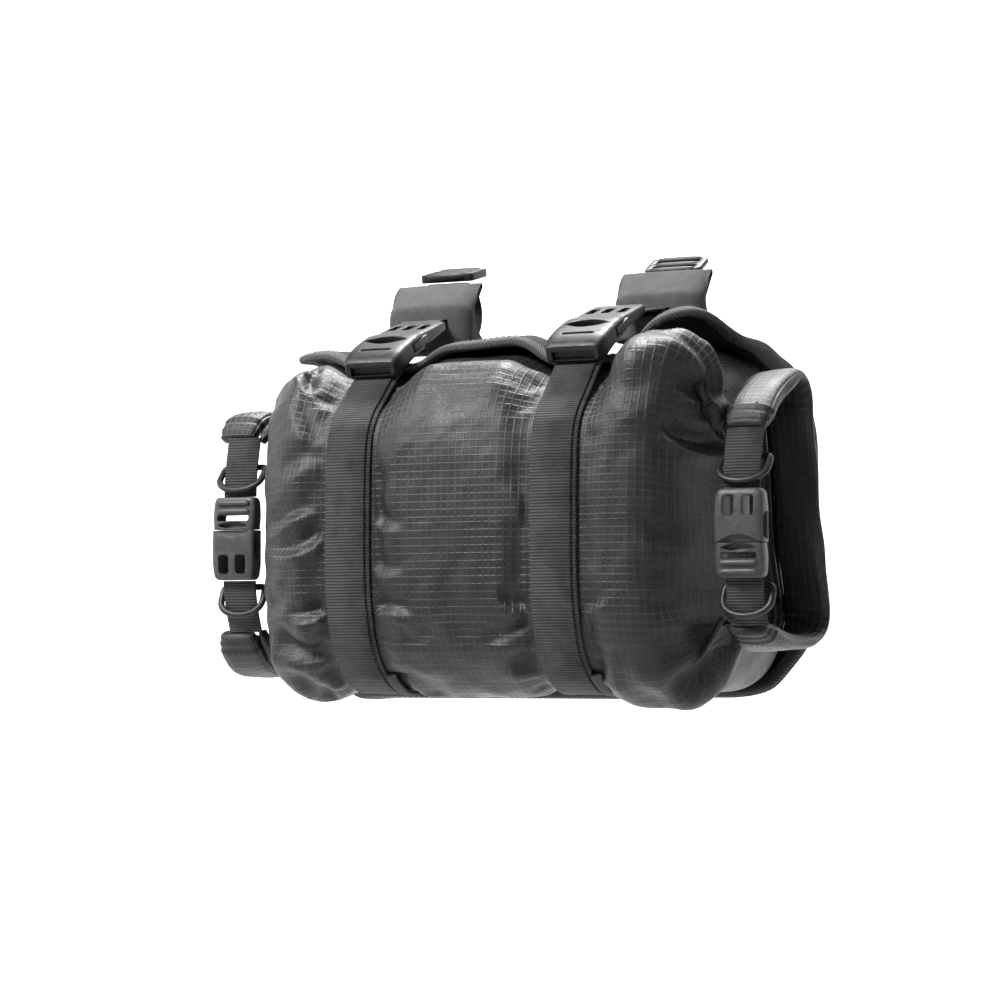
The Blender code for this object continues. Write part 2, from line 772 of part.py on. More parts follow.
def build_strap(name, centre):
    """Webbing from under the top buckle, down the front and round under the bag."""
    inside = STRAP_CLEARANCE
    outside = inside + STRAP_THICKNESS
    rings = []
    front = buckle_front(centre)
    slope = Vector((math.cos(BUCKLE_TILT), math.sin(BUCKLE_TILT)))
    under = Vector((slope[1], -slope[0])) * (TOP_BUCKLE_THICKNESS + NARROW_GAP)
    for back, low in STRAP_TOP_ROWS:
        outer = front + slope * (back * TOP_BUCKLE_LENGTH) + under
        outer += under.normalized() * (low * STRAP_THICKNESS)
        inner = outer + under.normalized() * STRAP_THICKNESS
        left = centre - STRAP_WIDTH / 2.0
        right = centre + STRAP_WIDTH / 2.0
        rings.append(
            [
                Vector((left, *inner)),
                Vector((right, *inner)),
                Vector((right, *outer)),
                Vector((left, *outer)),
            ]
        )
    for step in range(STRAP_FIRST_STEP, STRAP_LAST_STEP - 1, -1):
        turn = math.tau * step / BODY_AROUND
        ring = []
        for edge, away in ((-0.5, inside), (0.5, inside), (0.5, outside), (-0.5, outside)):
            ring.append(strap_path_point(centre, edge * STRAP_WIDTH, turn, away))
        rings.append(ring)
    return tube(name, rings)


def build_strap_tab(name, centre):
    """The narrow folded tab stitched beside each strap's lower end."""
    inside = STRAP_CLEARANCE
    outside = inside + STRAP_THICKNESS * 1.5
    left = STRAP_WIDTH / 2.0 + PIECE_GAP
    rings = []
    for step in range(TAB_FIRST_STEP, TAB_LAST_STEP - 1, -1):
        turn = math.tau * step / BODY_AROUND
        ring = []
        for edge, away in ((0.0, inside), (1.0, inside), (1.0, outside), (0.0, outside)):
            away += edge * TAB_RISE
            ring.append(strap_path_point(centre, left + edge * TAB_WIDTH, turn, away))
        rings.append(ring)
    return tube(name, rings)


def harness_lift(along, degrees):
    """How far the harness stands off the bag near its front edge on top."""
    front = interpolate(HARNESS_TOP, along, 1)
    fade = bump(max(degrees - front, 0.0), HARNESS_LIFT_FLAT, HARNESS_LIFT_EDGE)
    for centre in (STRAP_LEFT, STRAP_RIGHT):
        fade *= 1.0 - bump(along - centre, TOP_BUCKLE_WIDTH * BUCKLE_MARK, BUCKLE_LIFT_EDGE)
    return interpolate(HARNESS_TOP, along, 2) * BODY_HALF_HEIGHT * fade


def harness_point(along, degrees, away):
    """Point of the harness panel, held off the bag's round section by a distance."""
    turn = math.radians(degrees)
    grow = HARNESS_SEAT - HARNESS_PRESS + away - buckle_dip(along, degrees)
    grow -= under_press(along, degrees)
    place = round_point(along, turn, HARNESS_SECTIONS)
    normal = round_normal(along, turn, HARNESS_SECTIONS)
    place = place + normal * grow + Vector((0.0, 1.0)) * harness_lift(along, degrees)
    return Vector((along, *place))


def harness_edges(along):
    """Degrees round the bag at which the panel starts on top and ends underneath."""
    share = (along - HARNESS_LEFT) / (HARNESS_RIGHT - HARNESS_LEFT)
    near_end = min(share, 1.0 - share) * (HARNESS_RIGHT - HARNESS_LEFT)
    corner = 1.0 - math.sqrt(max(1.0 - (1.0 - min(near_end / HARNESS_CORNER, 1.0)) ** 2, 0.0))
    top = interpolate(HARNESS_TOP, along, 1) + corner * HARNESS_CORNER_DEGREES
    bottom = interpolate(HARNESS_BOTTOM, along, 1) - corner * HARNESS_CORNER_DEGREES
    return top, bottom


def panel_grid():
    """The panel's points as (along, degrees), a column of rows at each station."""
    grid = []
    for along in spaced(HARNESS_LEFT, HARNESS_RIGHT, PANEL_COLUMNS):
        top, bottom = harness_edges(along)
        grid.append([(along, degrees) for degrees in spaced(top, bottom, PANEL_ROWS)])
    return grid


def panel_edge():
    """Column and row of the points round the panel's edge."""
    last_column = PANEL_COLUMNS - 1
    last_row = PANEL_ROWS - 1
    edge = [(column, 0) for column in range(PANEL_COLUMNS)]
    edge += [(last_column, row) for row in range(1, PANEL_ROWS)]
    edge += [(column, last_row) for column in range(last_column - 1, -1, -1)]
    edge += [(0, row) for row in range(last_row - 1, 0, -1)]
    return edge


def build_harness():
    """The padded panel behind the bag, hollowed to lie round its top, back and underside."""
    points = []
    for away in (HARNESS_THICKNESS, 0.0):
        for column in panel_grid():
            points += [harness_point(along, degrees, away) for along, degrees in column]
    layer = PANEL_COLUMNS * PANEL_ROWS
    faces = []
    for column in range(PANEL_COLUMNS - 1):
        for row in range(PANEL_ROWS - 1):
            corner = column * PANEL_ROWS + row
            across = corner + PANEL_ROWS
            faces.append((corner, corner + 1, across + 1, across))
            low = corner + layer
            under = across + layer
            faces.append((low, under, under + 1, low + 1))
    edge = [column * PANEL_ROWS + row for column, row in panel_edge()]
    for first, second in zip(edge, edge[1:] + edge[:1]):
        faces.append((first, second, second + layer, first + layer))
    return mesh_object("harness_panel", points, faces)


def build_binding():
    """The tape bound round the panel's edge, a soft flattened cord just outside it."""
    grid = panel_grid()
    outline = [grid[column][row] for column, row in panel_edge()]
    middle = HARNESS_THICKNESS / 2.0
    places = [harness_point(along, degrees, middle) for along, degrees in outline]
    rings = []
    for index, (along, degrees) in enumerate(outline):
        before = places[index - 1]
        after = places[(index + 1) % len(places)]
        run = (after - before).normalized()
        high = harness_point(along, degrees, HARNESS_THICKNESS)
        normal = (high - places[index]).normalized()
        outward = run.cross(normal).normalized()
        lead = (places[index] - before).normalized()
        follow = (after - places[index]).normalized()
        mitre = 1.0 / max(math.cos(lead.angle(follow, 0.0) / 2.0), 0.7)
        ring = []
        for step in range(8):
            angle = math.tau * step / 8.0 + math.tau / 16.0
            side = (math.cos(angle) + 1.0) * BINDING_WIDTH / 2.0 + BINDING_GAP
            up = math.sin(angle) * BINDING_HEIGHT / 2.0
            ring.append(places[index] + outward * side * mitre + normal * up)
        rings.append(ring)
    return tube("harness_binding", rings, closed_rows=True)


def buckle_front(centre_x):
    """Front top edge of the buckle on the left or the right, as (y, z)."""
    drop = BUCKLE_DROP[1 if centre_x > 0 else -1]
    return Vector((BODY_CENTRE_Y - BUCKLE_REACH * BODY_HALF_DEPTH, BODY_TOP - drop))


def buckle_place(centre_x, back, up):
    """World point of a top buckle, from distances back along it and up from its top face."""
    slope = Vector((math.cos(BUCKLE_TILT), math.sin(BUCKLE_TILT)))
    normal = Vector((-slope[1], slope[0]))
    front = buckle_front(centre_x)
    place = front + slope * back + normal * up
    return Vector((centre_x, *place))


def build_top_buckle(name, centre_x):
    """A side-release buckle lying on the bag: its front half takes the strap, its rear
    half the webbing from the bar. The halves stay fastened."""
    half = TOP_BUCKLE_WIDTH / 2.0
    for part, rows in (("front", BUCKLE_FRONT_ROWS), ("rear", BUCKLE_REAR_ROWS)):
        rings = []
        for back, wide, crown, depth in rows:
            reach = back * TOP_BUCKLE_LENGTH
            side = half * wide
            top = (crown - 1.0) * TOP_BUCKLE_THICKNESS
            low = -depth * TOP_BUCKLE_THICKNESS
            chamfer = TOP_BUCKLE_THICKNESS * BUCKLE_CHAMFER
            rings.append(
                [
                    buckle_place(centre_x - side, reach, low),
                    buckle_place(centre_x + side, reach, low),
                    buckle_place(centre_x + side, reach, top - chamfer),
                    buckle_place(centre_x + side - chamfer, reach, top),
                    buckle_place(centre_x - side + chamfer, reach, top),
                    buckle_place(centre_x - side, reach, top - chamfer),
                ]
            )
        made = tube(f"{name}_{part}", rings)
        for label, owner, back, across, wide, long, deep in BUCKLE_SLOTS:
            if owner != part:
                continue
            tool = cutter(
                f"{name}_{label}",
                (wide * TOP_BUCKLE_WIDTH, long * TOP_BUCKLE_LENGTH, TOP_BUCKLE_THICKNESS * deep),
                buckle_place(
                    centre_x + across * TOP_BUCKLE_WIDTH,
                    back * TOP_BUCKLE_LENGTH,
                    TOP_BUCKLE_THICKNESS * BUCKLE_SLOT_LEVEL,
                ),
                BUCKLE_TILT,
            )
            cut(made, tool)


def closure_point(side, out, z):
    """Point on the middle of an end closure's webbing line at a height, out towards the front."""
    rows = RIGHT_CHAIN if side > 0 else LEFT_CHAIN
    neck = NECK_RIGHT if side > 0 else NECK_LEFT
    keyed = []
    for height, across, depth in reversed(rows):
        y, level = section_place(depth, height)
        keyed.append((level, neck + side * across * ROLL_WIDTH, y))
    return Vector((interpolate(keyed, z, 1), interpolate(keyed, z, 2) - out, z))


def build_closure(side, label):
    """An end closure: two lengths of webbing, each through a D-ring, and a fastened buckle."""
    levels = RIGHT_LEVELS if side > 0 else LEFT_LEVELS
    top, middle, low = (section_place(0.0, share)[1] for share in levels)
    buckle_top = middle + END_BUCKLE_LENGTH / 2.0
    buckle_low = middle - END_BUCKLE_LENGTH / 2.0
    spans = (("upper", top, buckle_top + NARROW_GAP), ("lower", buckle_low - NARROW_GAP, low))
    for part, first, last in spans:
        path = spaced(first, last, 5)
        middle = closure_point(side, 0.0, (first + last) / 2.0).x
        line = [closure_point(side, 0.0, z) for z in path]
        band(
            f"closure_webbing_{part}_{label}",
            [(point.y, point.z) for point in line],
            CLOSURE_WEBBING_WIDTH,
            STRAP_THICKNESS,
            [middle] * len(line),
        )
    rings = (
        ("upper", buckle_top + UPPER_RING_AWAY, UPPER_RING_LEAN),
        ("lower", buckle_low - LOWER_RING_AWAY, LOWER_RING_LEAN),
    )
    for part, level, lean in rings:
        centre = closure_point(side, 0.0, level)
        build_d_ring(f"d_ring_{part}_{label}", centre, lean)
    build_end_buckle(side, label, buckle_top, buckle_low)


def build_d_ring(name, centre, lean):
    """A moulded D-ring over the webbing, its straight bar behind it."""
    half = CLOSURE_WEBBING_WIDTH / 2.0 + D_RING_WIRE + D_RING_PLAY
    rise = D_RING_HEIGHT / 2.0
    line = []
    for across, level in D_RING_ROWS:
        y = -level * rise * math.sin(lean)
        line.append(Vector((across * half, y, -level * rise * math.cos(lean))))
    rings = []
    for index, point in enumerate(line):
        before = line[index - 1]
        after = line[(index + 1) % len(line)]
        run = (after - before).normalized()
        side = run.cross(Vector((0.0, 1.0, 0.0)))
        side = side.normalized() if side.length > 0.2 else Vector((1.0, 0.0, 0.0))
        other = run.cross(side).normalized()
        ring = []
        for step in range(6):
            angle = math.tau * step / 6.0
            around = side * math.cos(angle) + other * math.sin(angle)
            ring.append(centre + point + around * D_RING_WIRE)
        rings.append(ring)
    return tube(name, rings, closed_rows=True)


def build_end_buckle(side, label, high, low):
    """The fastened side-release buckle of an end closure, its two halves."""
    flip = -1.0 if side < 0 else 1.0
    middle = (high + low) / 2.0
    half_length = (high - low) / 2.0
    half = END_BUCKLE_WIDTH / 2.0
    depth = END_BUCKLE_THICKNESS
    for part, rows in (("socket", END_SOCKET_ROWS), ("plug", END_PLUG_ROWS)):
        rings = []
        for level, wide, front, back in rows:
            z = middle + flip * level * half_length
            place = closure_point(side, 0.0, z)
            y_front = place.y - depth * front
            y_back = place.y + depth * back
            soft = depth * END_BUCKLE_CHAMFER
            rings.append(
                [
                    Vector((place.x - half * wide, y_back, z)),
                    Vector((place.x + half * wide, y_back, z)),
                    Vector((place.x + half * wide, y_front + soft, z)),
                    Vector((place.x + half * wide - soft, y_front, z)),
                    Vector((place.x - half * wide + soft, y_front, z)),
                    Vector((place.x - half * wide, y_front + soft, z)),
                ]
            )
        if part == "socket":
            rings.reverse()
        made = tube(f"closure_{part}_{label}", rings)
        for slot, owner, level, across, wide, tall in END_BUCKLE_SLOTS:
            if owner != part:
                continue
            z = middle + flip * level * half_length
            place = closure_point(side, 0.0, z)
            tool = cutter(
                f"{slot}_{label}",
                (wide * END_BUCKLE_WIDTH, depth * 2.6, tall * (high - low)),
                (place.x + across * half, place.y, z),
            )
            cut(made, tool)


def build_spacer(name, centre_x, slot_x):
    """A foam block in front of the bar, with a half-round bed for it and a webbing slot."""
    half = SPACER_WIDTH / 2.0
    rings = []
    for share in (-1.0, -0.985, -0.93, -0.83, -0.66, 0.66, 0.83, 0.93, 0.985, 1.0):
        near = (1.0 - abs(share)) * half
        lift = min(near / SPACER_ROUNDING, 1.0)
        inset = SPACER_INSET * (1.0 - math.sqrt(1.0 - (1.0 - lift) ** 2))
        front = -SPACER_FRONT + inset
        profile = [
            (front, -SPACER_BOTTOM),
            (front, SPACER_SHOULDER - inset * 0.5),
            (SPACER_CHAMFER - SPACER_FRONT, SPACER_TOP - inset * 0.1),
        ]
        for degrees in spaced(121.0, 268.0, 11):
            angle = math.radians(degrees)
            profile.append((SPACER_BED * math.cos(angle), SPACER_BED * math.sin(angle)))
        profile.append((SPACER_BACK, -SPACER_BED - SPACER_LIP))
        profile.append((SPACER_BACK, -SPACER_BOTTOM))
        rings.append([Vector((centre_x + share * half, y, z)) for y, z in profile])
    made = tube(name, rings)
    tool = cutter(
        f"{name}_slot",
        (SLOT_WIDTH, SPACER_FRONT * 1.3, SLOT_HEIGHT),
        (slot_x, -SPACER_FRONT, SLOT_LEVEL),
    )
    cut(made, tool)
    return made


def build_mount_strap(name, centre_x, slot_x):
    """Webbing from the buckle's rear half through the foam and once round the bar."""
    rear = buckle_place(centre_x, TOP_BUCKLE_LENGTH + NARROW_GAP, -TOP_BUCKLE_THICKNESS * 0.5)
    path = [
        (rear.y, rear.z),
        (-SPACER_FRONT - SLOT_ENTRY, SLOT_LEVEL + SLOT_RISE),
        (-SPACER_FRONT + SLOT_REST, SLOT_LEVEL),
    ]
    ring = BAR_RADIUS + MOUNT_CLEARANCE + STRAP_THICKNESS / 2.0
    for degrees in spaced(WRAP_START, WRAP_START + WRAP_TURN, WRAP_STEPS):
        angle = math.radians(degrees)
        path.append((ring * math.cos(angle), ring * math.sin(angle)))
    centres = [centre_x] + [slot_x] * (len(path) - 1)
    return band(name, path, STRAP_WIDTH, STRAP_THICKNESS, centres)


def build_ladder_lock(label, centre_x):
    """The moulded adjuster that the bar strap ends in, a frame with a cross bar."""
    name = f"ladder_lock_{label}"
    across, back, up, lean, long, thick = LOCK_ROWS[label]
    lean = math.radians(lean)
    long *= LOCK_WIDTH
    thick *= LOCK_WIDTH
    middle = Vector((centre_x + across * LOCK_WIDTH, back * BAR_RADIUS, up * BAR_RADIUS))
    made = box(name, (LOCK_WIDTH, long, thick), middle, turn=lean)
    slope = Vector((0.0, math.cos(lean), math.sin(lean)))
    for slot, offset in LOCK_SLOTS:
        tool = cutter(
            f"{name}_{slot}",
            (LOCK_WIDTH - 2.0 * LOCK_FRAME, LOCK_SLOT, thick * 3.0),
            middle + slope * long * offset,
            lean,
        )
        cut(made, tool)
    round_edges(made, 0.0007)
    shade_by_angle(made)
    return made


def dress(made):
    """Give a piece its own material, by the beginning of its name."""
    finish = next(kind for start, kind in PIECE_FINISHES if made.name.startswith(start))
    colour, roughness, metallic = FINISHES[finish]
    material = bpy.data.materials.new(f"{made.name}_{finish}")
    material.use_nodes = True
    shader = material.node_tree.nodes["Principled BSDF"]
    shader.inputs["Base Color"].default_value = (*colour, 1.0)
    shader.inputs["Roughness"].default_value = roughness
    shader.inputs["Metallic"].default_value = metallic
    made.data.materials.append(material)


PIECES = None
CUTTERS = None


def main():
    """Build every piece in its collection, and the cutters in theirs."""
    global PIECES, CUTTERS
    for old in list(bpy.data.objects):
        bpy.data.objects.remove(old)
    PIECES = bpy.data.collections.new("handlebar_bag")
    CUTTERS = bpy.data.collections.new("cutters")
    CUTTERS.hide_render = True
    bpy.context.scene.collection.children.link(PIECES)
    bpy.context.scene.collection.children.link(CUTTERS)
    build_body()
    build_roll("roll_right", 1.0)
    build_roll("roll_left", -1.0)
    build_harness()
    build_binding()
    for side, label in ((-1.0, "left"), (1.0, "right")):
        centre = STRAP_LEFT if side < 0 else STRAP_RIGHT
        spacer = SPACER_LEFT if side < 0 else SPACER_RIGHT
        slot = SLOT_LEFT if side < 0 else SLOT_RIGHT
        build_strap(f"strap_{label}", centre)
        build_strap_tab(f"strap_tab_{label}", centre)
        build_top_buckle(f"top_buckle_{label}", centre)
        build_mount_strap(f"bar_strap_{label}", centre, slot)
        build_spacer(f"foam_spacer_{label}", spacer, slot)
        build_closure(side, label)
        build_ladder_lock(label, slot)
    for made in PIECES.objects:
        dress(made)


main()
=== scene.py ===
"""Looks of a roll-closed handlebar bag: its cloth, webbing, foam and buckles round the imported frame.

Everything is in metres in the frame's own axes: the bar runs along X through the origin,
the bag's front faces -Y and +Z is up.
"""

import logging
import math
from dataclasses import dataclass
from enum import Enum
from typing import Callable, NamedTuple, Optional, Sequence

import bmesh
import bpy
import numpy as np
from mathutils import Matrix, Vector


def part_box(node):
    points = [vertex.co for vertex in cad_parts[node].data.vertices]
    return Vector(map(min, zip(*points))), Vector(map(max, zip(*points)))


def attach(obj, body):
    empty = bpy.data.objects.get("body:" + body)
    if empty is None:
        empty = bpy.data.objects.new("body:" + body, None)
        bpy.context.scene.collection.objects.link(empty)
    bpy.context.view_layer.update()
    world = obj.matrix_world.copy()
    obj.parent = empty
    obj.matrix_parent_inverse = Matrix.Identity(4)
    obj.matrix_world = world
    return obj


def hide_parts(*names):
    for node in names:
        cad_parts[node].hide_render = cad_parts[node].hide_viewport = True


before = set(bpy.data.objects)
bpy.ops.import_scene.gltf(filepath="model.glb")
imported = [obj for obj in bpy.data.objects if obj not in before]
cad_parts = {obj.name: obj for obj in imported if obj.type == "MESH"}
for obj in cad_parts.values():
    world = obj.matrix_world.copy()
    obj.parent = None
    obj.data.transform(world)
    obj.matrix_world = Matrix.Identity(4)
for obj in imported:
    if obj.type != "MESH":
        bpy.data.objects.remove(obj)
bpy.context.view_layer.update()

Array = np.ndarray
Triple = tuple[float, float, float]
LOG = logging.getLogger("handlebar_bag")
ROOT = "root"


class Side(Enum):
    """The bag's two ends, as seen in the photo."""

    LEFT = -1
    RIGHT = 1

    @property
    def word(self) -> str:
        """The side's name as the nodes spell it."""
        return self.name.lower()


# Curves, tables and small sums


def eased(low: float, high: float, value: Array) -> Array:
    """Rise smoothly from 0 at low to 1 at high.

    Args:
        low: Where the rise starts.
        high: Where it ends; it may lie below low.
        value: The numbers to map.

    Returns:
        The eased shares.
    """
    share = np.clip((np.asarray(value, float) - low) / (high - low), 0.0, 1.0)
    return share * share * (3.0 - 2.0 * share)


def hump(distance: Array, flat: float, edge: float) -> Array:
    """One within the flat distance, falling smoothly to zero over the edge distance.

    Args:
        distance: Signed distance from the middle.
        flat: Half width of the flat top.
        edge: Width of the fall on each side.

    Returns:
        Shares from 0 to 1.
    """
    return 1.0 - eased(flat, flat + edge, np.abs(distance))


def table_value(rows: Sequence[Sequence[float]], key: Array, column: int) -> Array:
    """Read a table's column at keys between its rows, on a curve that never overshoots.

    Args:
        rows: The table, its first column rising.
        key: Where to read it.
        column: Which column to read.

    Returns:
        The values, held flat beyond the first and last row.
    """
    xs = np.array([row[0] for row in rows], float)
    ys = np.array([row[column] for row in rows], float)
    steps = np.diff(xs)
    slopes = np.diff(ys) / steps
    tangents = np.zeros_like(ys)
    inner = slopes[:-1] * slopes[1:] > 0
    mean = 2.0 * slopes[:-1] * slopes[1:] / np.where(inner, slopes[:-1] + slopes[1:], 1.0)
    tangents[1:-1] = np.where(inner, mean, 0.0)
    at = np.clip(np.asarray(key, float), xs[0], xs[-1])
    index = np.clip(np.searchsorted(xs, at, side="right") - 1, 0, len(xs) - 2)
    width = steps[index]
    t = (at - xs[index]) / width
    rest = 1.0 - t
    return (
        ys[index] * (1.0 + 2.0 * t) * rest * rest
        + tangents[index] * width * t * rest * rest
        + ys[index + 1] * t * t * (3.0 - 2.0 * t)
        - tangents[index + 1] * width * t * t * rest
    )


def smooth_line(points: Sequence[Sequence[float]], count: int) -> Array:
    """Spread points evenly along a smooth curve through a few.

    Args:
        points: The curve's own points, of any dimension.
        count: How many points to return.

    Returns:
        An array of count points, evenly spaced by length.
    """
    given = np.asarray(points, float)
    padded = np.vstack([2 * given[0] - given[1], given, 2 * given[-1] - given[-2]])
    pieces = []
    for i in range(len(given) - 1):
        t = np.linspace(0.0, 1.0, 24, endpoint=False)[:, None]
        a, b, c, d = padded[i : i + 4]
        pieces.append(
            0.5 * (2 * b + (c - a) * t + (2 * a - 5 * b + 4 * c - d) * t**2 + (3 * b - a - 3 * c + d) * t**3)
        )
    fine = np.vstack([*pieces, given[-1:]])
    lengths = running_length(fine)
    wanted = np.linspace(0.0, lengths[-1], count)
    return np.stack([np.interp(wanted, lengths, fine[:, k]) for k in range(fine.shape[1])], 1)


def running_length(points: Array) -> Array:
    """Length along a line of points, from 0 at its start."""
    return np.concatenate([[0.0], np.cumsum(np.linalg.norm(np.diff(points, axis=0), axis=1))])


def unit(vectors: Array) -> Array:
    """Vectors scaled to length 1 along their last axis."""
    return vectors / np.maximum(np.linalg.norm(vectors, axis=-1, keepdims=True), 1e-12)


def left_normals(line: Array) -> Array:
    """Left-hand normals of a plane line (y, z), for a line that runs through its points."""
    run = unit(np.gradient(line, axis=0))
    return np.stack([-run[:, 1], run[:, 0]], 1)


def wander(u: Array, v: Array, seed: int, scale: float, stretch: float = 1.0) -> Array:
    """Soft irregular waves, made of a few seeded cosines.

    Args:
        u: First coordinate.
        v: Second coordinate.
        seed: Which waves.
        scale: Typical wavelength, in the coordinates' unit.
        stretch: How much longer the waves run along u than along v.

    Returns:
        Values mostly between -1 and 1.
    """
    rng = np.random.RandomState(seed)
    total = np.zeros(np.broadcast(u, v).shape)
    for _ in range(9):
        angle = rng.uniform(0.0, math.tau)
        size = rng.uniform(0.6, 1.7) * math.tau / scale
        phase = rng.uniform(0.0, math.tau)
        total = total + np.cos(u * size * math.cos(angle) / stretch + v * size * math.sin(angle) + phase)
    return total / 4.5


# Meshes


def finish_mesh(made: bpy.types.Object, sharp: float = 180.0) -> bpy.types.Object:
    """Turn a mesh's faces outward and shade it smooth, keeping edges sharper than an angle.

    Args:
        made: The mesh object.
        sharp: Degrees above which an edge stays sharp.

    Returns:
        The same object.
    """
    shape = bmesh.new()
    shape.from_mesh(made.data)
    bmesh.ops.recalc_face_normals(shape, faces=shape.faces)
    if shape.calc_volume(signed=True) < 0:
        bmesh.ops.reverse_faces(shape, faces=shape.faces)
    shape.to_mesh(made.data)
    shape.free()
    made.data.shade_smooth()
    if sharp < 180.0:
        made.data.set_sharp_from_angle(angle=math.radians(sharp))
    return made


def grid_object(
    name: str,
    grid: Array,
    uv: Optional[Array] = None,
    closed: bool = False,
    caps: bool = True,
    sharp: float = 180.0,
) -> bpy.types.Object:
    """Skin rings of points into one mesh.

    Args:
        name: The object's name.
        grid: Points, as rings by points in a ring by 3; each ring is closed.
        uv: Metres along and round for every point, one point more each way than the grid.
        closed: Whether the last ring joins the first.
        caps: Whether the first and last ring are filled.
        sharp: Degrees above which an edge stays sharp.

    Returns:
        The new object, linked to the scene.
    """
    rows, cols = grid.shape[:2]
    r, c = np.meshgrid(np.arange(rows if closed else rows - 1), np.arange(cols), indexing="ij")
    corners = [(r, c), (r, c + 1), (r + 1, c + 1), (r + 1, c)]
    quads = np.stack([(i % rows) * cols + j % cols for i, j in corners], -1).reshape(-1, 4)
    faces = quads.tolist()
    if caps and not closed:
        faces += [list(range(cols))[::-1], list(range((rows - 1) * cols, rows * cols))]
    mesh = bpy.data.meshes.new(name)
    mesh.from_pydata(grid.reshape(-1, 3).tolist(), [], faces)
    if uv is not None:
        layer = mesh.uv_layers.new(name="metres")
        values = np.zeros((len(mesh.loops), 2), np.float32)
        values[: quads.size] = np.stack([uv[i, j] for i, j in corners], 2).reshape(-1, 2)
        layer.data.foreach_set("uv", values.ravel())
    made = bpy.data.objects.new(name, mesh)
    bpy.context.scene.collection.objects.link(made)
    return finish_mesh(made, sharp)


def ring_uv(grid: Array, closed: bool = False) -> Array:
    """Metres along and round a grid of rings, measured down its first column and round its middle ring.

    Args:
        grid: Rings of points.
        closed: Whether the last ring joins the first.

    Returns:
        An array one longer than the grid each way.
    """
    down = running_length(np.vstack([grid[:, 0], grid[:1, 0] if closed else grid[-1:, 0]]))
    middle = grid[len(grid) // 2]
    around = running_length(np.vstack([middle, middle[:1]]))
    return np.stack(np.meshgrid(down, around, indexing="ij"), -1)


def band_grid(line: Array, width: float, thickness: float, soft: float = 0.0005) -> Array:
    """Rings of a flat band with softened edges, along a line of (x, y, z) whose width runs along X.

    Args:
        line: Middle points.
        width: Band width.
        thickness: Band thickness.
        soft: How far the corners are rounded.

    Returns:
        Rings of eight points.
    """
    normal = left_normals(line[:, 1:])
    half, up = width / 2.0, thickness / 2.0
    corners = [
        (-half + soft, -up), (half - soft, -up), (half, -up + soft), (half, up - soft),
        (half - soft, up), (-half + soft, up), (-half, up - soft), (-half, -up + soft),
    ]
    rings = np.zeros((len(line), len(corners), 3))
    for k, (across, out) in enumerate(corners):
        rings[:, k, 0] = line[:, 0] + across
        rings[:, k, 1:] = line[:, 1:] + normal * out
    return rings


def superellipse(count: int, half_a: float, half_b: float, power: float = 0.75) -> Array:
    """Points of a soft rectangle round the origin.

    Args:
        count: How many points.
        half_a: Half size along the first axis.
        half_b: Half size along the second axis.
        power: 1 is an ellipse, less is squarer.

    Returns:
        An array of (a, b) points.
    """
    angle = np.linspace(0.0, math.tau, count, endpoint=False)
    a = np.sign(np.cos(angle)) * np.abs(np.cos(angle)) ** power * half_a
    b = np.sign(np.sin(angle)) * np.abs(np.sin(angle)) ** power * half_b
    return np.stack([a, b], 1)


def rounded_outline(corners: Sequence[Sequence[float]], radius: float, steps: int = 4) -> list[tuple[float, float]]:
    """Round every corner of an outline.

    Args:
        corners: The outline's corners in order.
        radius: Corner radius, at most half of the shorter side beside it.
        steps: Points in each rounding.

    Returns:
        The rounded outline's points.
    """
    outline: list[tuple[float, float]] = []
    points = [Vector(corner) for corner in corners]
    for i, here in enumerate(points):
        back, ahead = points[i - 1] - here, points[(i + 1) % len(points)] - here
        reach = min(radius, back.length * 0.48, ahead.length * 0.48)
        start, end = here + back.normalized() * reach, here + ahead.normalized() * reach
        for k in range(steps + 1):
            t = k / steps
            place = start * (1 - t) ** 2 + here * 2 * t * (1 - t) + end * t * t
            outline.append((place.x, place.y))
    return outline


def plate(
    name: str,
    outlines: Sequence[Sequence[tuple[float, float]]],
    thickness: float,
    place: Matrix,
    edge: float = 0.0005,
) -> bpy.types.Object:
    """Extrude an outline with holes into a plate with rounded edges.

    Args:
        name: The object's name.
        outlines: The outer outline first, then the holes.
        thickness: The plate's full thickness along its own Z.
        place: Where the plate's own axes stand in the frame.
        edge: Radius of its edges.

    Returns:
        A mesh object in the frame's axes.
    """
    curve = bpy.data.curves.new(name, "CURVE")
    curve.dimensions = "2D"
    curve.fill_mode = "BOTH"
    curve.extrude = max(thickness / 2.0 - edge, 1e-5)
    curve.bevel_depth = edge
    curve.bevel_resolution = 1
    curve.offset = -edge
    for outline in outlines:
        spline = curve.splines.new("POLY")
        spline.points.add(len(outline) - 1)
        for point, (a, b) in zip(spline.points, outline):
            point.co = (a, b, 0.0, 1.0)
        spline.use_cyclic_u = True
    drawn = bpy.data.objects.new(name + "_line", curve)
    bpy.context.scene.collection.objects.link(drawn)
    bpy.context.view_layer.update()
    mesh = bpy.data.meshes.new_from_object(drawn.evaluated_get(bpy.context.evaluated_depsgraph_get()))
    bpy.data.objects.remove(drawn)
    shape = bmesh.new()
    shape.from_mesh(mesh)
    bmesh.ops.remove_doubles(shape, verts=shape.verts, dist=1e-6)
    shape.to_mesh(mesh)
    shape.free()
    mesh.name = name
    mesh.transform(place)
    made = bpy.data.objects.new(name, mesh)
    bpy.context.scene.collection.objects.link(made)
    return finish_mesh(made, 35.0)


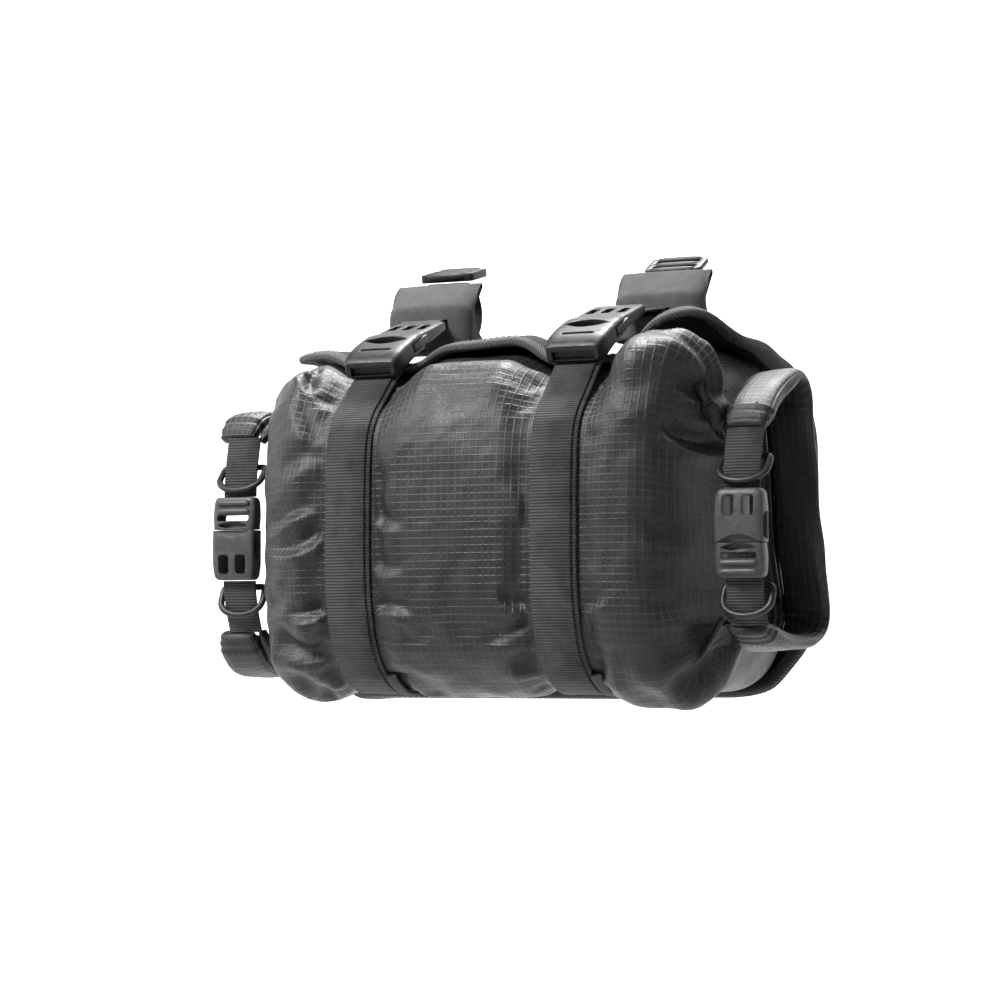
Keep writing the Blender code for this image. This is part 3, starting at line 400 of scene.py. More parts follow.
def carve(target: bpy.types.Object, tools: Sequence[bpy.types.Object], edge: float = 0.0003) -> bpy.types.Object:
    """Cut shapes out of a piece, then soften the new edges.

    Args:
        target: The piece.
        tools: What is cut out; they are removed afterwards.
        edge: How far the cut edges are rounded, 0 to leave them.

    Returns:
        The piece, with its mesh replaced.
    """
    for tool in tools:
        cut = target.modifiers.new("cut", "BOOLEAN")
        cut.object = tool
        cut.operation = "DIFFERENCE"
        cut.solver = "EXACT"
    if edge > 0.0:
        soften = target.modifiers.new("soften", "BEVEL")
        soften.width = edge
        soften.segments = 2
        soften.limit_method = "ANGLE"
        soften.angle_limit = math.radians(50.0)
    apply_modifiers(target)
    for tool in tools:
        bpy.data.objects.remove(tool)
    return finish_mesh(target, 35.0)


def apply_modifiers(made: bpy.types.Object) -> None:
    """Replace an object's mesh by what its modifiers make of it."""
    bpy.context.view_layer.update()
    graph = bpy.context.evaluated_depsgraph_get()
    mesh = bpy.data.meshes.new_from_object(made.evaluated_get(graph))
    made.modifiers.clear()
    made.data = mesh


def join(pieces: Sequence[bpy.types.Object], name: str) -> bpy.types.Object:
    """Join mesh objects into the first one and name it.

    Args:
        pieces: Meshes in the frame's axes.
        name: The joined object's name.

    Returns:
        The joined object.
    """
    with bpy.context.temp_override(
        active_object=pieces[0], object=pieces[0], selected_editable_objects=list(pieces), selected_objects=list(pieces)
    ):
        bpy.ops.object.join()
    pieces[0].name = name
    pieces[0].data.name = name
    return pieces[0]


def stitches(name: str, places: Array, along: Array, normal: Array, length: float, wide: float) -> bpy.types.Object:
    """Lay short threads on a surface, as one mesh of small rounded bars.

    Args:
        name: The object's name.
        places: Middle of each stitch.
        along: Direction of each stitch.
        normal: Outward direction at each stitch.
        length: Stitch length.
        wide: Thread width.

    Returns:
        The joined stitches.
    """
    along, normal = unit(along), unit(normal)
    side = unit(np.cross(along, normal))
    steps = np.array([(-0.5, 0.15, 0.1), (-0.32, 0.42, 0.55), (0.32, 0.42, 0.55), (0.5, 0.15, 0.1)])
    angles = np.linspace(0.0, math.tau, 6, endpoint=False)
    points, faces = [], []
    for k in range(len(places)):
        base = k * 24
        for share, half, rise in steps:
            middle = places[k] + along[k] * share * length + normal[k] * rise * wide * 0.4
            for angle in angles:
                points.append(middle + (side[k] * math.cos(angle) + normal[k] * math.sin(angle)) * half * wide)
        for ring in range(3):
            for i in range(6):
                j = (i + 1) % 6
                faces.append([base + ring * 6 + i, base + ring * 6 + j, base + ring * 6 + 6 + j, base + ring * 6 + 6 + i])
        faces += [[base + i for i in range(6)][::-1], [base + 18 + i for i in range(6)]]
    mesh = bpy.data.meshes.new(name)
    mesh.from_pydata([tuple(p) for p in points], [], faces)
    made = bpy.data.objects.new(name, mesh)
    bpy.context.scene.collection.objects.link(made)
    return finish_mesh(made)


# Finishes


class Paint:
    """A material in the making: short calls that add and join its nodes."""

    def __init__(self, name: str, roughness: float, specular: float = 0.5) -> None:
        """Start a material.

        Args:
            name: The material's name.
            roughness: The shader's roughness where nothing is joined to it.
            specular: The shader's specular level.
        """
        self.material = bpy.data.materials.new(name)
        self.material.use_nodes = True
        self.tree = self.material.node_tree
        self.shader = self.tree.nodes["Principled BSDF"]
        self.shader.inputs["Roughness"].default_value = roughness
        self.shader.inputs["Specular IOR Level"].default_value = specular

    def node(self, kind: str, **settings: object) -> bpy.types.Node:
        """Add a node.

        Args:
            kind: The node's type name.
            **settings: Node properties; input_NAME or input_N joins or sets an input.

        Returns:
            The node.
        """
        made = self.tree.nodes.new(kind)
        for key, value in settings.items():
            if not key.startswith("input_"):
                setattr(made, key, value)
        for key, value in settings.items():
            if key.startswith("input_"):
                name = key[6:].replace("_", " ")
                self.feed(made.inputs[int(name) if name.isdigit() else name], value)
        return made

    def feed(self, socket: bpy.types.NodeSocket, value: object) -> None:
        """Join a node's output to a socket, or set the socket's own value."""
        if isinstance(value, bpy.types.NodeSocket):
            self.tree.links.new(value, socket)
        else:
            socket.default_value = value

    def sum(self, operation: str, *values: object) -> bpy.types.NodeSocket:
        """Put values through a Math node and return its output."""
        settings = {f"input_{i}": value for i, value in enumerate(values)}
        return self.node("ShaderNodeMath", operation=operation, **settings).outputs[0]

    def blend(self, share: object, first: object, second: object) -> bpy.types.NodeSocket:
        """Mix two colours by a share and return the colour."""
        mixed = self.node("ShaderNodeMix", data_type="RGBA")
        self.feed(mixed.inputs[0], share)
        self.feed(mixed.inputs[6], first)
        self.feed(mixed.inputs[7], second)
        return mixed.outputs[2]

    def ramp(self, value: object, low: float, high: float) -> bpy.types.NodeSocket:
        """Map a value smoothly from low and high to 0 and 1."""
        mapped = self.node("ShaderNodeMapRange", interpolation_type="SMOOTHSTEP", input_Value=value)
        mapped.inputs["From Min"].default_value = low
        mapped.inputs["From Max"].default_value = high
        return mapped.outputs[0]

    def noise(self, scale: float, detail: float = 3.0, where: object = None) -> bpy.types.NodeSocket:
        """Noise in the object's own metres, or at a given place; returns its value."""
        place = where if where is not None else self.node("ShaderNodeTexCoord").outputs["Object"]
        made = self.node("ShaderNodeTexNoise", input_Vector=place, input_Scale=scale, input_Detail=detail)
        return made.outputs[0]

    def metres(self) -> tuple[bpy.types.NodeSocket, bpy.types.NodeSocket]:
        """The surface's own metres along and round."""
        split = self.node("ShaderNodeSeparateXYZ", input_0=self.node("ShaderNodeTexCoord").outputs["UV"])
        return split.outputs[0], split.outputs[1]

    def lines(self, value: object, pitch: float, width: float) -> bpy.types.NodeSocket:
        """One on thin lines at a pitch, zero between them.

        Args:
            value: Metres across the lines.
            pitch: From line to line.
            width: Half width of a line, as a share of the pitch.

        Returns:
            The line mask.
        """
        share = self.sum("FRACT", self.sum("DIVIDE", value, pitch))
        off = self.sum("ABSOLUTE", self.sum("SUBTRACT", share, 0.5))
        return self.ramp(off, width, width * 0.35)

    def bump(self, height: object, depth: float, under: object = None) -> bpy.types.NodeSocket:
        """A normal from a height, over another normal if one is given.

        Args:
            height: Height as a share.
            depth: What a share of 1 stands for, in metres.
            under: A normal to add to.

        Returns:
            The normal.
        """
        made = self.node("ShaderNodeBump", input_Height=height)
        made.inputs["Distance"].default_value = depth
        made.inputs["Strength"].default_value = 1.0
        if under is not None:
            self.feed(made.inputs["Normal"], under)
        return made.outputs[0]

    def done(self, colour: object, normal: object = None, roughness: object = None) -> bpy.types.Material:
        """Join colour, normal and roughness to the shader and return the material."""
        self.feed(self.shader.inputs["Base Color"], colour)
        if normal is not None:
            self.feed(self.shader.inputs["Normal"], normal)
        if roughness is not None:
            self.feed(self.shader.inputs["Roughness"], roughness)
        return self.material


def grey(level: float, warm: float = 0.0) -> tuple[float, float, float, float]:
    """A grey as a linear colour, a little warm or cold."""
    return (level * (1.0 + warm), level, level * (1.0 - warm * 1.5), 1.0)


@dataclass(frozen=True)
class RipstopCloth:
    """Coated cloth with a raised square grid of thicker threads, painted lighter where they face up as a painted
    highlight.
    """

    name: str = "ripstop_cloth"
    cell: float = 0.0041
    level: float = 0.015
    # thread: colour of the grid threads where they face straight up, a painted highlight
    thread: float = 0.085
    roughness: float = 0.42

    def make(self) -> bpy.types.Material:
        """Build the material: grid lines with a painted highlight where they face up, cells, fine weave and handling
        marks.
        """
        paint = Paint(self.name, self.roughness, 0.42)
        along, round_ = paint.metres()
        grid = paint.sum(
            "MAXIMUM", paint.lines(along, self.cell, 0.15), paint.lines(round_, self.cell, 0.15)
        )
        patches = paint.ramp(paint.noise(17.0, 2.0), 0.40, 0.62)
        clear = paint.sum("MULTIPLY", grid, paint.sum("ADD", paint.sum("MULTIPLY", patches, 0.75), 0.25))
        # Painted highlight: the grid threads turn lighter the more the surface faces up, as if lit from above; facing
        # down they keep only a slightly lighter tone of their own.
        normal_z = paint.node(
            "ShaderNodeSeparateXYZ", input_0=paint.node("ShaderNodeNewGeometry").outputs["Normal"]
        ).outputs[2]
        painted_top_highlight = paint.ramp(normal_z, -0.22, 0.62)
        thread = paint.blend(painted_top_highlight, grey(self.level * 1.8), grey(self.thread))
        marks = paint.ramp(paint.noise(46.0, 5.0), 0.35, 0.70)
        cloth = paint.blend(marks, grey(self.level * 0.88), grey(self.level * 1.16))
        weave = paint.sum(
            "ADD",
            paint.lines(along, self.cell / 9.0, 0.35),
            paint.lines(round_, self.cell / 9.0, 0.35),
        )
        normal = paint.bump(weave, 0.00002)
        normal = paint.bump(grid, 0.00016, normal)
        normal = paint.bump(paint.noise(230.0, 4.0), 0.00025, normal)
        rough = paint.ramp(paint.noise(60.0, 4.0), -0.9, 2.1)
        return paint.done(paint.blend(clear, cloth, thread), normal, rough)


@dataclass(frozen=True)
class RibbedWebbing:
    """Woven webbing whose ribs run across its width."""

    name: str = "ribbed_webbing"
    rib: float = 0.00162
    level: float = 0.036

    def make(self) -> bpy.types.Material:
        """Build the material: round ribs, the fine threads on them, and painted shade in the grooves with painted
        highlight on the rib tops, stronger in random patches.
        """
        paint = Paint(self.name, 0.72, 0.35)
        along, round_ = paint.metres()
        wave = paint.sum("SINE", paint.sum("MULTIPLY", along, math.tau / self.rib))
        rib = paint.sum("MULTIPLY_ADD", wave, 0.5, 0.5)
        threads = paint.sum("SINE", paint.sum("MULTIPLY", round_, math.tau / 0.00075))
        threads = paint.sum("MULTIPLY", threads, rib)
        fade = paint.ramp(paint.noise(70.0, 2.0), 0.25, 0.60)
        # Painted shade and highlight: the colour follows the rib height, darker in the grooves and lighter on the rib
        # tops, with the contrast faded by noise.
        colour = paint.blend(
            paint.sum("MULTIPLY", rib, fade), grey(self.level * 0.55), grey(self.level * 1.75)
        )
        normal = paint.bump(paint.sum("MULTIPLY_ADD", threads, 0.12, rib), 0.00040)
        normal = paint.bump(paint.noise(900.0, 2.0), 0.00010, normal)
        return paint.done(colour, normal)


@dataclass(frozen=True)
class TwillTape:
    """Binding tape with a fine slanting twill."""

    name: str = "twill_tape"
    pitch: float = 0.0019
    level: float = 0.066

    def make(self) -> bpy.types.Material:
        """Build the material: slanting ribs with painted shade in their grooves and painted highlight on their tops,
        and a soft fuzz.
        """
        paint = Paint(self.name, 0.80, 0.3)
        along, round_ = paint.metres()
        slant = paint.sum("ADD", along, paint.sum("MULTIPLY", round_, 0.8))
        wave = paint.sum("MULTIPLY_ADD", paint.sum("SINE", paint.sum("MULTIPLY", slant, math.tau / self.pitch)), 0.5, 0.5)
        # Painted shade and highlight: the colour follows the same wave as the ribs' bump, darker in the grooves and
        # lighter on the tops.
        colour = paint.blend(wave, grey(self.level * 0.7), grey(self.level * 1.5))
        normal = paint.bump(wave, 0.00030)
        normal = paint.bump(paint.noise(700.0, 3.0), 0.00015, normal)
        return paint.done(colour, normal)


@dataclass(frozen=True)
class PaddedCloth:
    """The harness panel's plain woven cloth."""

    name: str = "padded_cloth"
    level: float = 0.019

    def make(self) -> bpy.types.Material:
        """Build the material: a close weave with slight shine on the threads."""
        paint = Paint(self.name, 0.78, 0.3)
        along, round_ = paint.metres()
        weave = paint.sum("ADD", paint.lines(along, 0.0009, 0.36), paint.lines(round_, 0.0009, 0.36))
        marks = paint.noise(40.0, 5.0)
        colour = paint.blend(marks, grey(self.level * 0.75), grey(self.level * 1.4))
        normal = paint.bump(weave, 0.00012)
        normal = paint.bump(paint.noise(120.0, 4.0), 0.0004, normal)
        return paint.done(colour, normal)


@dataclass(frozen=True)
class CellFoam:
    """Closed-cell foam with a fine pitted skin."""

    name: str = "cell_foam"
    level: float = 0.082

    def make(self) -> bpy.types.Material:
        """Build the material: small pits and larger mottling."""
        paint = Paint(self.name, 0.92, 0.25)
        place = paint.node("ShaderNodeTexCoord").outputs["Object"]
        pits = paint.node("ShaderNodeTexVoronoi", input_Vector=place, input_Scale=1300.0).outputs[0]
        mottle = paint.noise(160.0, 6.0)
        colour = paint.blend(paint.ramp(mottle, 0.3, 0.75), grey(self.level * 0.90, 0.01), grey(self.level * 1.10, 0.01))
        normal = paint.bump(pits, 0.00018)
        normal = paint.bump(mottle, 0.00025, normal)
        return paint.done(colour, normal)


@dataclass(frozen=True)
class MouldedPlastic:
    """Satin moulded plastic with a spark-eroded grain."""

    name: str = "moulded_plastic"
    level: float = 0.015
    roughness: float = 0.38

    def make(self) -> bpy.types.Material:
        """Build the material: fine grain, and scuffs that change its gloss."""
        paint = Paint(self.name, self.roughness, 0.38)
        scuffs = paint.noise(300.0, 6.0)
        colour = paint.blend(paint.ramp(scuffs, 0.35, 0.7), grey(self.level * 0.9), grey(self.level * 1.2))
        normal = paint.bump(paint.noise(2600.0, 2.0), 0.00006)
        rough = paint.ramp(scuffs, -1.3 + self.roughness, 2.6 - self.roughness)
        return paint.done(colour, normal, rough)


@dataclass(frozen=True)
class SewingThread:
    """Black sewing thread."""

    name: str = "sewing_thread"
    level: float = 0.055

    def make(self) -> bpy.types.Material:
        """Build the material: thread with a fine twist."""
        paint = Paint(self.name, 0.6, 0.4)
        twist = paint.noise(2500.0, 2.0)
        colour = paint.blend(twist, grey(self.level * 0.7), grey(self.level * 1.4))
        return paint.done(colour, paint.bump(twist, 0.0001))


@dataclass(frozen=True)
class PaleFloor:
    """The plain pale floor."""

    name: str = "pale_floor"

    def make(self) -> bpy.types.Material:
        """Build the material: an even pale grey with the faintest grain."""
        paint = Paint(self.name, 0.95, 0.1)
        grain = paint.noise(3.0, 2.0)
        return paint.done(paint.blend(grain, grey(0.58), grey(0.60)))


class Finishes:
    """Every finish of the bag, made once and handed to its pieces."""

    def __init__(self) -> None:
        """Make the materials."""
        self.cloth = RipstopCloth().make()
        self.webbing = RibbedWebbing().make()
        self.smooth_webbing = RibbedWebbing("fine_webbing", 0.0009, 0.032).make()
        self.tape = TwillTape().make()
        self.panel = PaddedCloth().make()
        self.foam = CellFoam().make()
        self.plastic = MouldedPlastic().make()
        self.pale_plastic = MouldedPlastic("pale_plastic", 0.055, 0.42).make()
        self.thread = SewingThread().make()
        self.floor = PaleFloor().make()


def dress(
    piece: bpy.types.Object,
    material: bpy.types.Material,
    nodes: Sequence[str] = (),
) -> bpy.types.Object:
    """Give a piece its finish and its place on the frame, and report it.

    Args:
        piece: The piece.
        material: Its finish.
        nodes: The frame's nodes that it stands for.

    Returns:
        The piece.
    """
    piece.data.materials.clear()
    piece.data.materials.append(material)
    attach(piece, ROOT)
    if nodes:
        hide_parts(*nodes)
    LOG.info("%s: %d faces", piece.name, len(piece.data.polygons))
    return piece


# The bag's form: the surfaces that every soft piece lies on


class Section(NamedTuple):
    """A section of the bag: where it is, how deep and tall, and how far closed into the neck."""

    along: float
    depth: float
    height: float
    closed: float = 0.0


class Place(NamedTuple):
    """A place in the bag's section, as shares of its half depth and half height."""

    depth: float
    height: float


class PanelEdge(NamedTuple):
    """The harness's front edge: share along, degrees round the bag, and its lift off it."""

    along: float
    degrees: float
    lift: float


SECTIONS = (
    Section(-1.000, 0.560, 0.640, 1.00),
    Section(-0.989, 0.565, 0.660, 1.00),
    Section(-0.979, 0.575, 0.690, 0.72),
    Section(-0.962, 0.600, 0.740, 0.30),
    Section(-0.935, 0.660, 0.800, 0.13),
    Section(-0.884, 0.770, 0.880, 0.05),
    Section(-0.808, 0.880, 0.950, 0.01),
    Section(-0.712, 0.955, 0.995, 0.00),
    Section(-0.630, 0.985, 0.996, 0.00),
    Section(-0.233, 0.995, 1.000, 0.00),
    Section(0.000, 1.000, 1.000, 0.00),
    Section(0.229, 0.995, 1.000, 0.00),
    Section(0.631, 0.983, 0.995, 0.00),
    Section(0.731, 0.970, 1.000, 0.00),
    Section(0.810, 0.950, 1.000, 0.02),
    Section(0.875, 0.915, 0.975, 0.12),
    Section(0.925, 0.880, 0.930, 0.36),
    Section(0.961, 0.850, 0.890, 0.70),
    Section(0.986, 0.830, 0.860, 1.00),
    Section(1.000, 0.825, 0.850, 1.00),
)
CLOSURE_LINES = {
    Side.RIGHT: (
        Place(-0.516, 0.457), Place(-0.432, 0.538), Place(-0.305, 0.640), Place(-0.158, 0.736),
        Place(-0.021, 0.782), Place(0.074, 0.716), Place(0.116, 0.563), Place(0.168, 0.330),
        Place(0.211, 0.076), Place(0.263, -0.178), Place(0.337, -0.381), Place(0.358, -0.513),
        Place(0.295, -0.594), Place(0.126, -0.635), Place(-0.084, -0.635), Place(-0.295, -0.604),
        Place(-0.528, -0.545),
    ),
    Side.LEFT: (
        Place(-0.479, 0.492), Place(-0.400, 0.574), Place(-0.274, 0.604), Place(-0.116, 0.594),
        Place(0.032, 0.563), Place(0.147, 0.482), Place(0.211, 0.330), Place(0.242, 0.127),
        Place(0.253, -0.076), Place(0.253, -0.310), Place(0.242, -0.513), Place(0.179, -0.665),
        Place(0.053, -0.756), Place(-0.137, -0.777), Place(-0.326, -0.726), Place(-0.479, -0.569),
    ),
}
PANEL_SECTIONS = (
    Section(-1.000, 0.960, 0.990),
    Section(-0.746, 1.000, 1.005),
    Section(0.000, 1.004, 1.004),
    Section(0.775, 1.000, 1.005),
    Section(0.907, 0.975, 0.995),
    Section(1.000, 0.900, 0.925),
)
PANEL_TOP = (
    PanelEdge(-1.000, 85.0, 0.030),
    PanelEdge(-0.746, 82.0, 0.006),
    PanelEdge(-0.299, 77.0, 0.010),
    PanelEdge(0.000, 74.0, 0.028),
    PanelEdge(0.310, 75.0, 0.050),
    PanelEdge(0.620, 77.0, 0.060),
    PanelEdge(0.775, 77.0, 0.120),
    PanelEdge(0.876, 79.0, 0.165),
    PanelEdge(1.000, 83.0, 0.085),
)
PANEL_BOTTOM = (
    PanelEdge(-1.000, 254.0, 0.0),
    PanelEdge(-0.709, 263.0, 0.0),
    PanelEdge(0.600, 263.0, 0.0),
    PanelEdge(1.000, 230.0, 0.0),
)


def middle_x(node: str) -> float:
    """Middle of a node of the frame, across the bag."""
    low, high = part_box(node)
    return (low.x + high.x) / 2.0


@dataclass(frozen=True)
class BagForm:
    """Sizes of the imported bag, and the surfaces that its cloth, straps and harness follow."""

    half_depth: float = 0.095
    half_height: float = 0.0985
    back: float = 0.050
    top: float = -0.029
    power: float = 2.0 / 3.4
    neck_left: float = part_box("bag_body")[0].x
    neck_right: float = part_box("bag_body")[1].x
    neck_thickness: float = 0.0056
    front_turn: float = math.radians(58.0)
    strap_width: float = 0.0254
    strap_left: float = middle_x("strap_left")
    strap_right: float = middle_x("strap_right")
    strap_press: float = 0.0045
    strap_mark: float = 0.60
    strap_mark_edge: float = 0.016
    panel_left: float = -0.134
    panel_right: float = 0.129
    panel_press: float = 0.0038
    panel_seat: float = 0.0016
    panel_corner: float = 0.030
    panel_corner_degrees: float = 8.0
    under: float = 0.0062
    lobe_start: float = 0.62
    lobe_edge: float = 0.34
    lobe_keep: float = 0.45
    buckle_dip: float = 0.0095
    buckle_width: float = 0.0345
    buckle_mark: float = 0.52
    buckle_mark_edge: float = 0.024

    @property
    def centre(self) -> tuple[float, float]:
        """Centre of the bag's section, as (y, z)."""
        return self.back - self.half_depth, self.top - self.half_height

    @property
    def straps(self) -> tuple[float, float]:
        """Middles of the two straps."""
        return self.strap_left, self.strap_right

    def place(self, spot: Place) -> tuple[float, float]:
        """A place in the section in metres, as (y, z)."""
        y, z = self.centre
        return y + spot.depth * self.half_depth, z + spot.height * self.half_height

    def round_section(self, x: Array, turn: Array, rows: Sequence[Sequence[float]], ends: tuple[float, float]) -> Array:
        """The round section before any press or fold.

        Args:
            x: Places along the bag.
            turn: Angles round it from the front, up positive.
            rows: The section table.
            ends: Where the table's shares of -1 and 1 lie.

        Returns:
            Points (y, z), with the last axis added.
        """
        share = np.where(x > 0, x / ends[1], -x / ends[0])
        depth = self.half_depth * table_value(rows, share, 1)
        height = self.half_height * table_value(rows, share, 2)
        cos, sin = np.cos(turn), np.sin(turn)
        y, z = self.centre
        return np.stack(
            [
                y - np.sign(cos) * np.abs(cos) ** self.power * depth,
                z + np.sign(sin) * np.abs(sin) ** self.power * height,
            ],
            -1,
        )

    def round_normal(self, x: Array, turn: Array, rows: Sequence[Sequence[float]], ends: tuple[float, float]) -> Array:
        """Outward direction of the round section, as (y, z)."""
        step = math.radians(1.0)
        run = unit(self.round_section(x, turn + step, rows, ends) - self.round_section(x, turn - step, rows, ends))
        return np.stack([-run[..., 1], run[..., 0]], -1)

    def dip(self, x: Array, degrees: Array) -> Array:
        """How far the top buckles press the harness and the bag down."""
        near = sum(hump(x - middle, self.buckle_width * self.buckle_mark, self.buckle_mark_edge) for middle in self.straps)
        return self.buckle_dip * near * hump(degrees - 68.0, 24.0, 30.0)

    def under_press(self, x: Array, degrees: Array) -> Array:
        """How far the harness's lower edge presses the underside up, less at the end lobes."""
        out = np.where(x > 0, x / self.panel_right, x / self.panel_left)
        lobe = self.lobe_keep + (1.0 - self.lobe_keep) * hump(out, self.lobe_start, self.lobe_edge)
        return self.under * lobe * hump(degrees % 360.0 - 250.0, 28.0, 16.0)

    def press(self, x: Array, degrees: Array) -> Array:
        """How far straps, harness and buckles push the cloth in."""
        strap = sum(hump(x - middle, self.strap_width * self.strap_mark, self.strap_mark_edge) for middle in self.straps)
        strap = strap * hump(degrees + 14.0, 78.0, 24.0) * self.strap_press
        covered = 1.0 - np.where(degrees > 0, hump(degrees, 50.0, 14.0), hump(degrees, 72.0, 14.0))
        return np.maximum(strap, covered * self.panel_press) + self.dip(x, degrees) + self.under_press(x, degrees)

    def closure_line(self, side: Side, count: int = 400) -> Array:
        """Middle line of a closure's C, as count points (y, z) from the upper to the lower tip."""
        return smooth_line([self.place(spot) for spot in CLOSURE_LINES[side]], count)

    def neck_section(self, side: Side, turn: Array) -> Array:
        """The closed neck's outline: the bag's back is the C's outer side, its front the inner.

        Args:
            side: Which end.
            turn: Angles from the front.

        Returns:
            Points (y, z).
        """
        line = self.closure_line(side)
        normals = left_normals(line)
        length = running_length(line)[-1]
        turn = np.remainder(turn + math.pi, math.tau) - math.pi
        outer = np.abs(turn) >= self.front_turn
        swept = (math.pi - np.abs(turn)) / (math.pi - self.front_turn)
        share = np.where(outer, 0.5 - 0.5 * np.sign(turn) * swept, 0.5 - 0.5 * turn / self.front_turn)
        half = self.neck_thickness / 2.0
        tip = np.minimum(share, 1.0 - share) * length
        reach = np.sqrt(np.clip(1.0 - (1.0 - np.minimum(tip / half, 1.0)) ** 2, 0.0, 1.0))
        reach = reach * np.where(outer, 1.0, -1.0) * half
        at = share * (len(line) - 1)
        index = np.arange(len(line))
        point = np.stack([np.interp(at, index, line[:, k]) for k in (0, 1)], -1)
        normal = np.stack([np.interp(at, index, normals[:, k]) for k in (0, 1)], -1)
        return point + normal * reach[..., None]

    def cloth(self, x: Array, turn: Array) -> Array:
        """The bag's outer skin without its small folds.

        Args:
            x: Places along the bag.
            turn: Angles round it; a grid of the same shape as x.

        Returns:
            Points (x, y, z).
        """
        ends = (self.neck_left, self.neck_right)
        degrees = np.degrees(np.remainder(turn + math.pi, math.tau) - math.pi)
        share = np.where(x > 0, x / self.neck_right, -x / self.neck_left)
        closed = np.clip(table_value(SECTIONS, share, 3), 0.0, 1.0)[..., None]
        surface = self.round_section(x, turn, SECTIONS, ends)
        normal = self.round_normal(x, turn, SECTIONS, ends)
        surface = surface - normal * self.press(x, degrees)[..., None] * (1.0 - closed)
        neck = np.where((x > 0)[..., None], self.neck_section(Side.RIGHT, turn), self.neck_section(Side.LEFT, turn))
        return np.concatenate([x[..., None], surface * (1.0 - closed) + neck * closed], -1)

    def strap_line(self, middle: float, degrees: Array, away: float) -> Array:
        """Points (y, z) held off the skin along a strap's middle, at angles round the bag."""
        turn = np.radians(degrees)
        x = np.full_like(turn, middle)
        step = math.radians(1.5)
        run = unit(self.cloth(x, turn + step)[:, 1:] - self.cloth(x, turn - step)[:, 1:])
        return self.cloth(x, turn)[:, 1:] + np.stack([-run[:, 1], run[:, 0]], 1) * away

    def panel_edges(self, x: Array) -> tuple[Array, Array]:
        """Degrees round the bag at which the harness panel starts on top and ends underneath."""
        share = np.where(x > 0, x / self.panel_right, -x / self.panel_left)
        near = np.minimum(x - self.panel_left, self.panel_right - x)
        corner = 1.0 - np.sqrt(np.clip(1.0 - (1.0 - np.minimum(near / self.panel_corner, 1.0)) ** 2, 0.0, 1.0))
        top = table_value(PANEL_TOP, share, 1) + corner * self.panel_corner_degrees
        return top, table_value(PANEL_BOTTOM, share, 1) - corner * self.panel_corner_degrees

    def panel(self, x: Array, degrees: Array, away: Array) -> Array:
        """A point of the harness panel, held off the bag's round section.

        Args:
            x: Places along the bag.
            degrees: Degrees round it.
            away: How far off the panel's inner face.

        Returns:
            Points (x, y, z).
        """
        ends = (self.panel_left, self.panel_right)
        turn = np.radians(degrees)
        grow = self.panel_seat - self.panel_press + away - self.dip(x, degrees) - self.under_press(x, degrees)
        place = self.round_section(x, turn, PANEL_SECTIONS, ends)
        place = place + self.round_normal(x, turn, PANEL_SECTIONS, ends) * np.asarray(grow)[..., None]
        share = np.where(x > 0, x / self.panel_right, -x / self.panel_left)
        front = table_value(PANEL_TOP, share, 1)
        fade = hump(np.maximum(degrees - front, 0.0), 2.0, 17.0)
        for middle in self.straps:
            fade = fade * (1.0 - hump(x - middle, self.buckle_width * self.buckle_mark, 0.018))
        lift = table_value(PANEL_TOP, share, 2) * self.half_height * fade
        place[..., 1] += lift
        return np.concatenate([np.broadcast_to(x, degrees.shape)[..., None], place], -1)


# The camera, and folds charted by where the photo shows them


@dataclass(frozen=True)
class PhotoCamera:
    """The camera, standing where the photo was taken from."""

    place: tuple[float, float, float] = (0.7956, -1.6396, -0.2023)
    azimuth: float = math.radians(27.0)
    elevation: float = math.radians(-2.9)
    sensor: float = 36.0
    focal_pixels: float = 3200.0
    pixels: float = 1000.0

    def axes(self) -> tuple[Array, Array, Array]:
        """The camera's right, up and backward directions."""
        back = np.array(
            [
                math.sin(self.azimuth) * math.cos(self.elevation),
                -math.cos(self.azimuth) * math.cos(self.elevation),
                math.sin(self.elevation),
            ]
        )
        right = np.array([math.cos(self.azimuth), math.sin(self.azimuth), 0.0])
        return right, np.cross(back, right), back

    def pixels_of(self, points: Array) -> tuple[Array, Array]:
        """Where points fall in the photo.

        Args:
            points: Points (x, y, z).

        Returns:
            Their pixels across and down.
        """
        right, up, back = self.axes()
        away = points - np.array(self.place)
        depth = -(away @ back)
        middle = self.pixels / 2.0
        return (
            middle + self.focal_pixels * (away @ right) / depth,
            middle - self.focal_pixels * (away @ up) / depth,
        )

    def facing(self, points: Array, normals: Array) -> Array:
        """How squarely a surface faces the camera, from -1 to 1."""
        return np.sum(normals * unit(np.array(self.place) - points), -1)

    def make(self) -> bpy.types.Object:
        """Create the camera and make it the scene's."""
        data = bpy.data.cameras.new("photo_camera")
        data.sensor_width = self.sensor
        data.lens = self.focal_pixels * self.sensor / self.pixels
        data.clip_end = 50.0
        camera = bpy.data.objects.new("photo_camera", data)
        right, up, back = self.axes()
        camera.matrix_world = Matrix.Translation(self.place) @ Matrix((right, up, back)).transposed().to_4x4()
        bpy.context.scene.collection.objects.link(camera)
        bpy.context.scene.camera = camera
        return camera


class Crease(NamedTuple):
    """A fold charted by the photo's pixels: from one end to the other, how wide, how deep
    (millimetres, negative stands out) and how high its lower lip rises."""

    left: float
    top: float
    right: float
    low: float
    width: float
    depth: float
    lip: float = 0.0


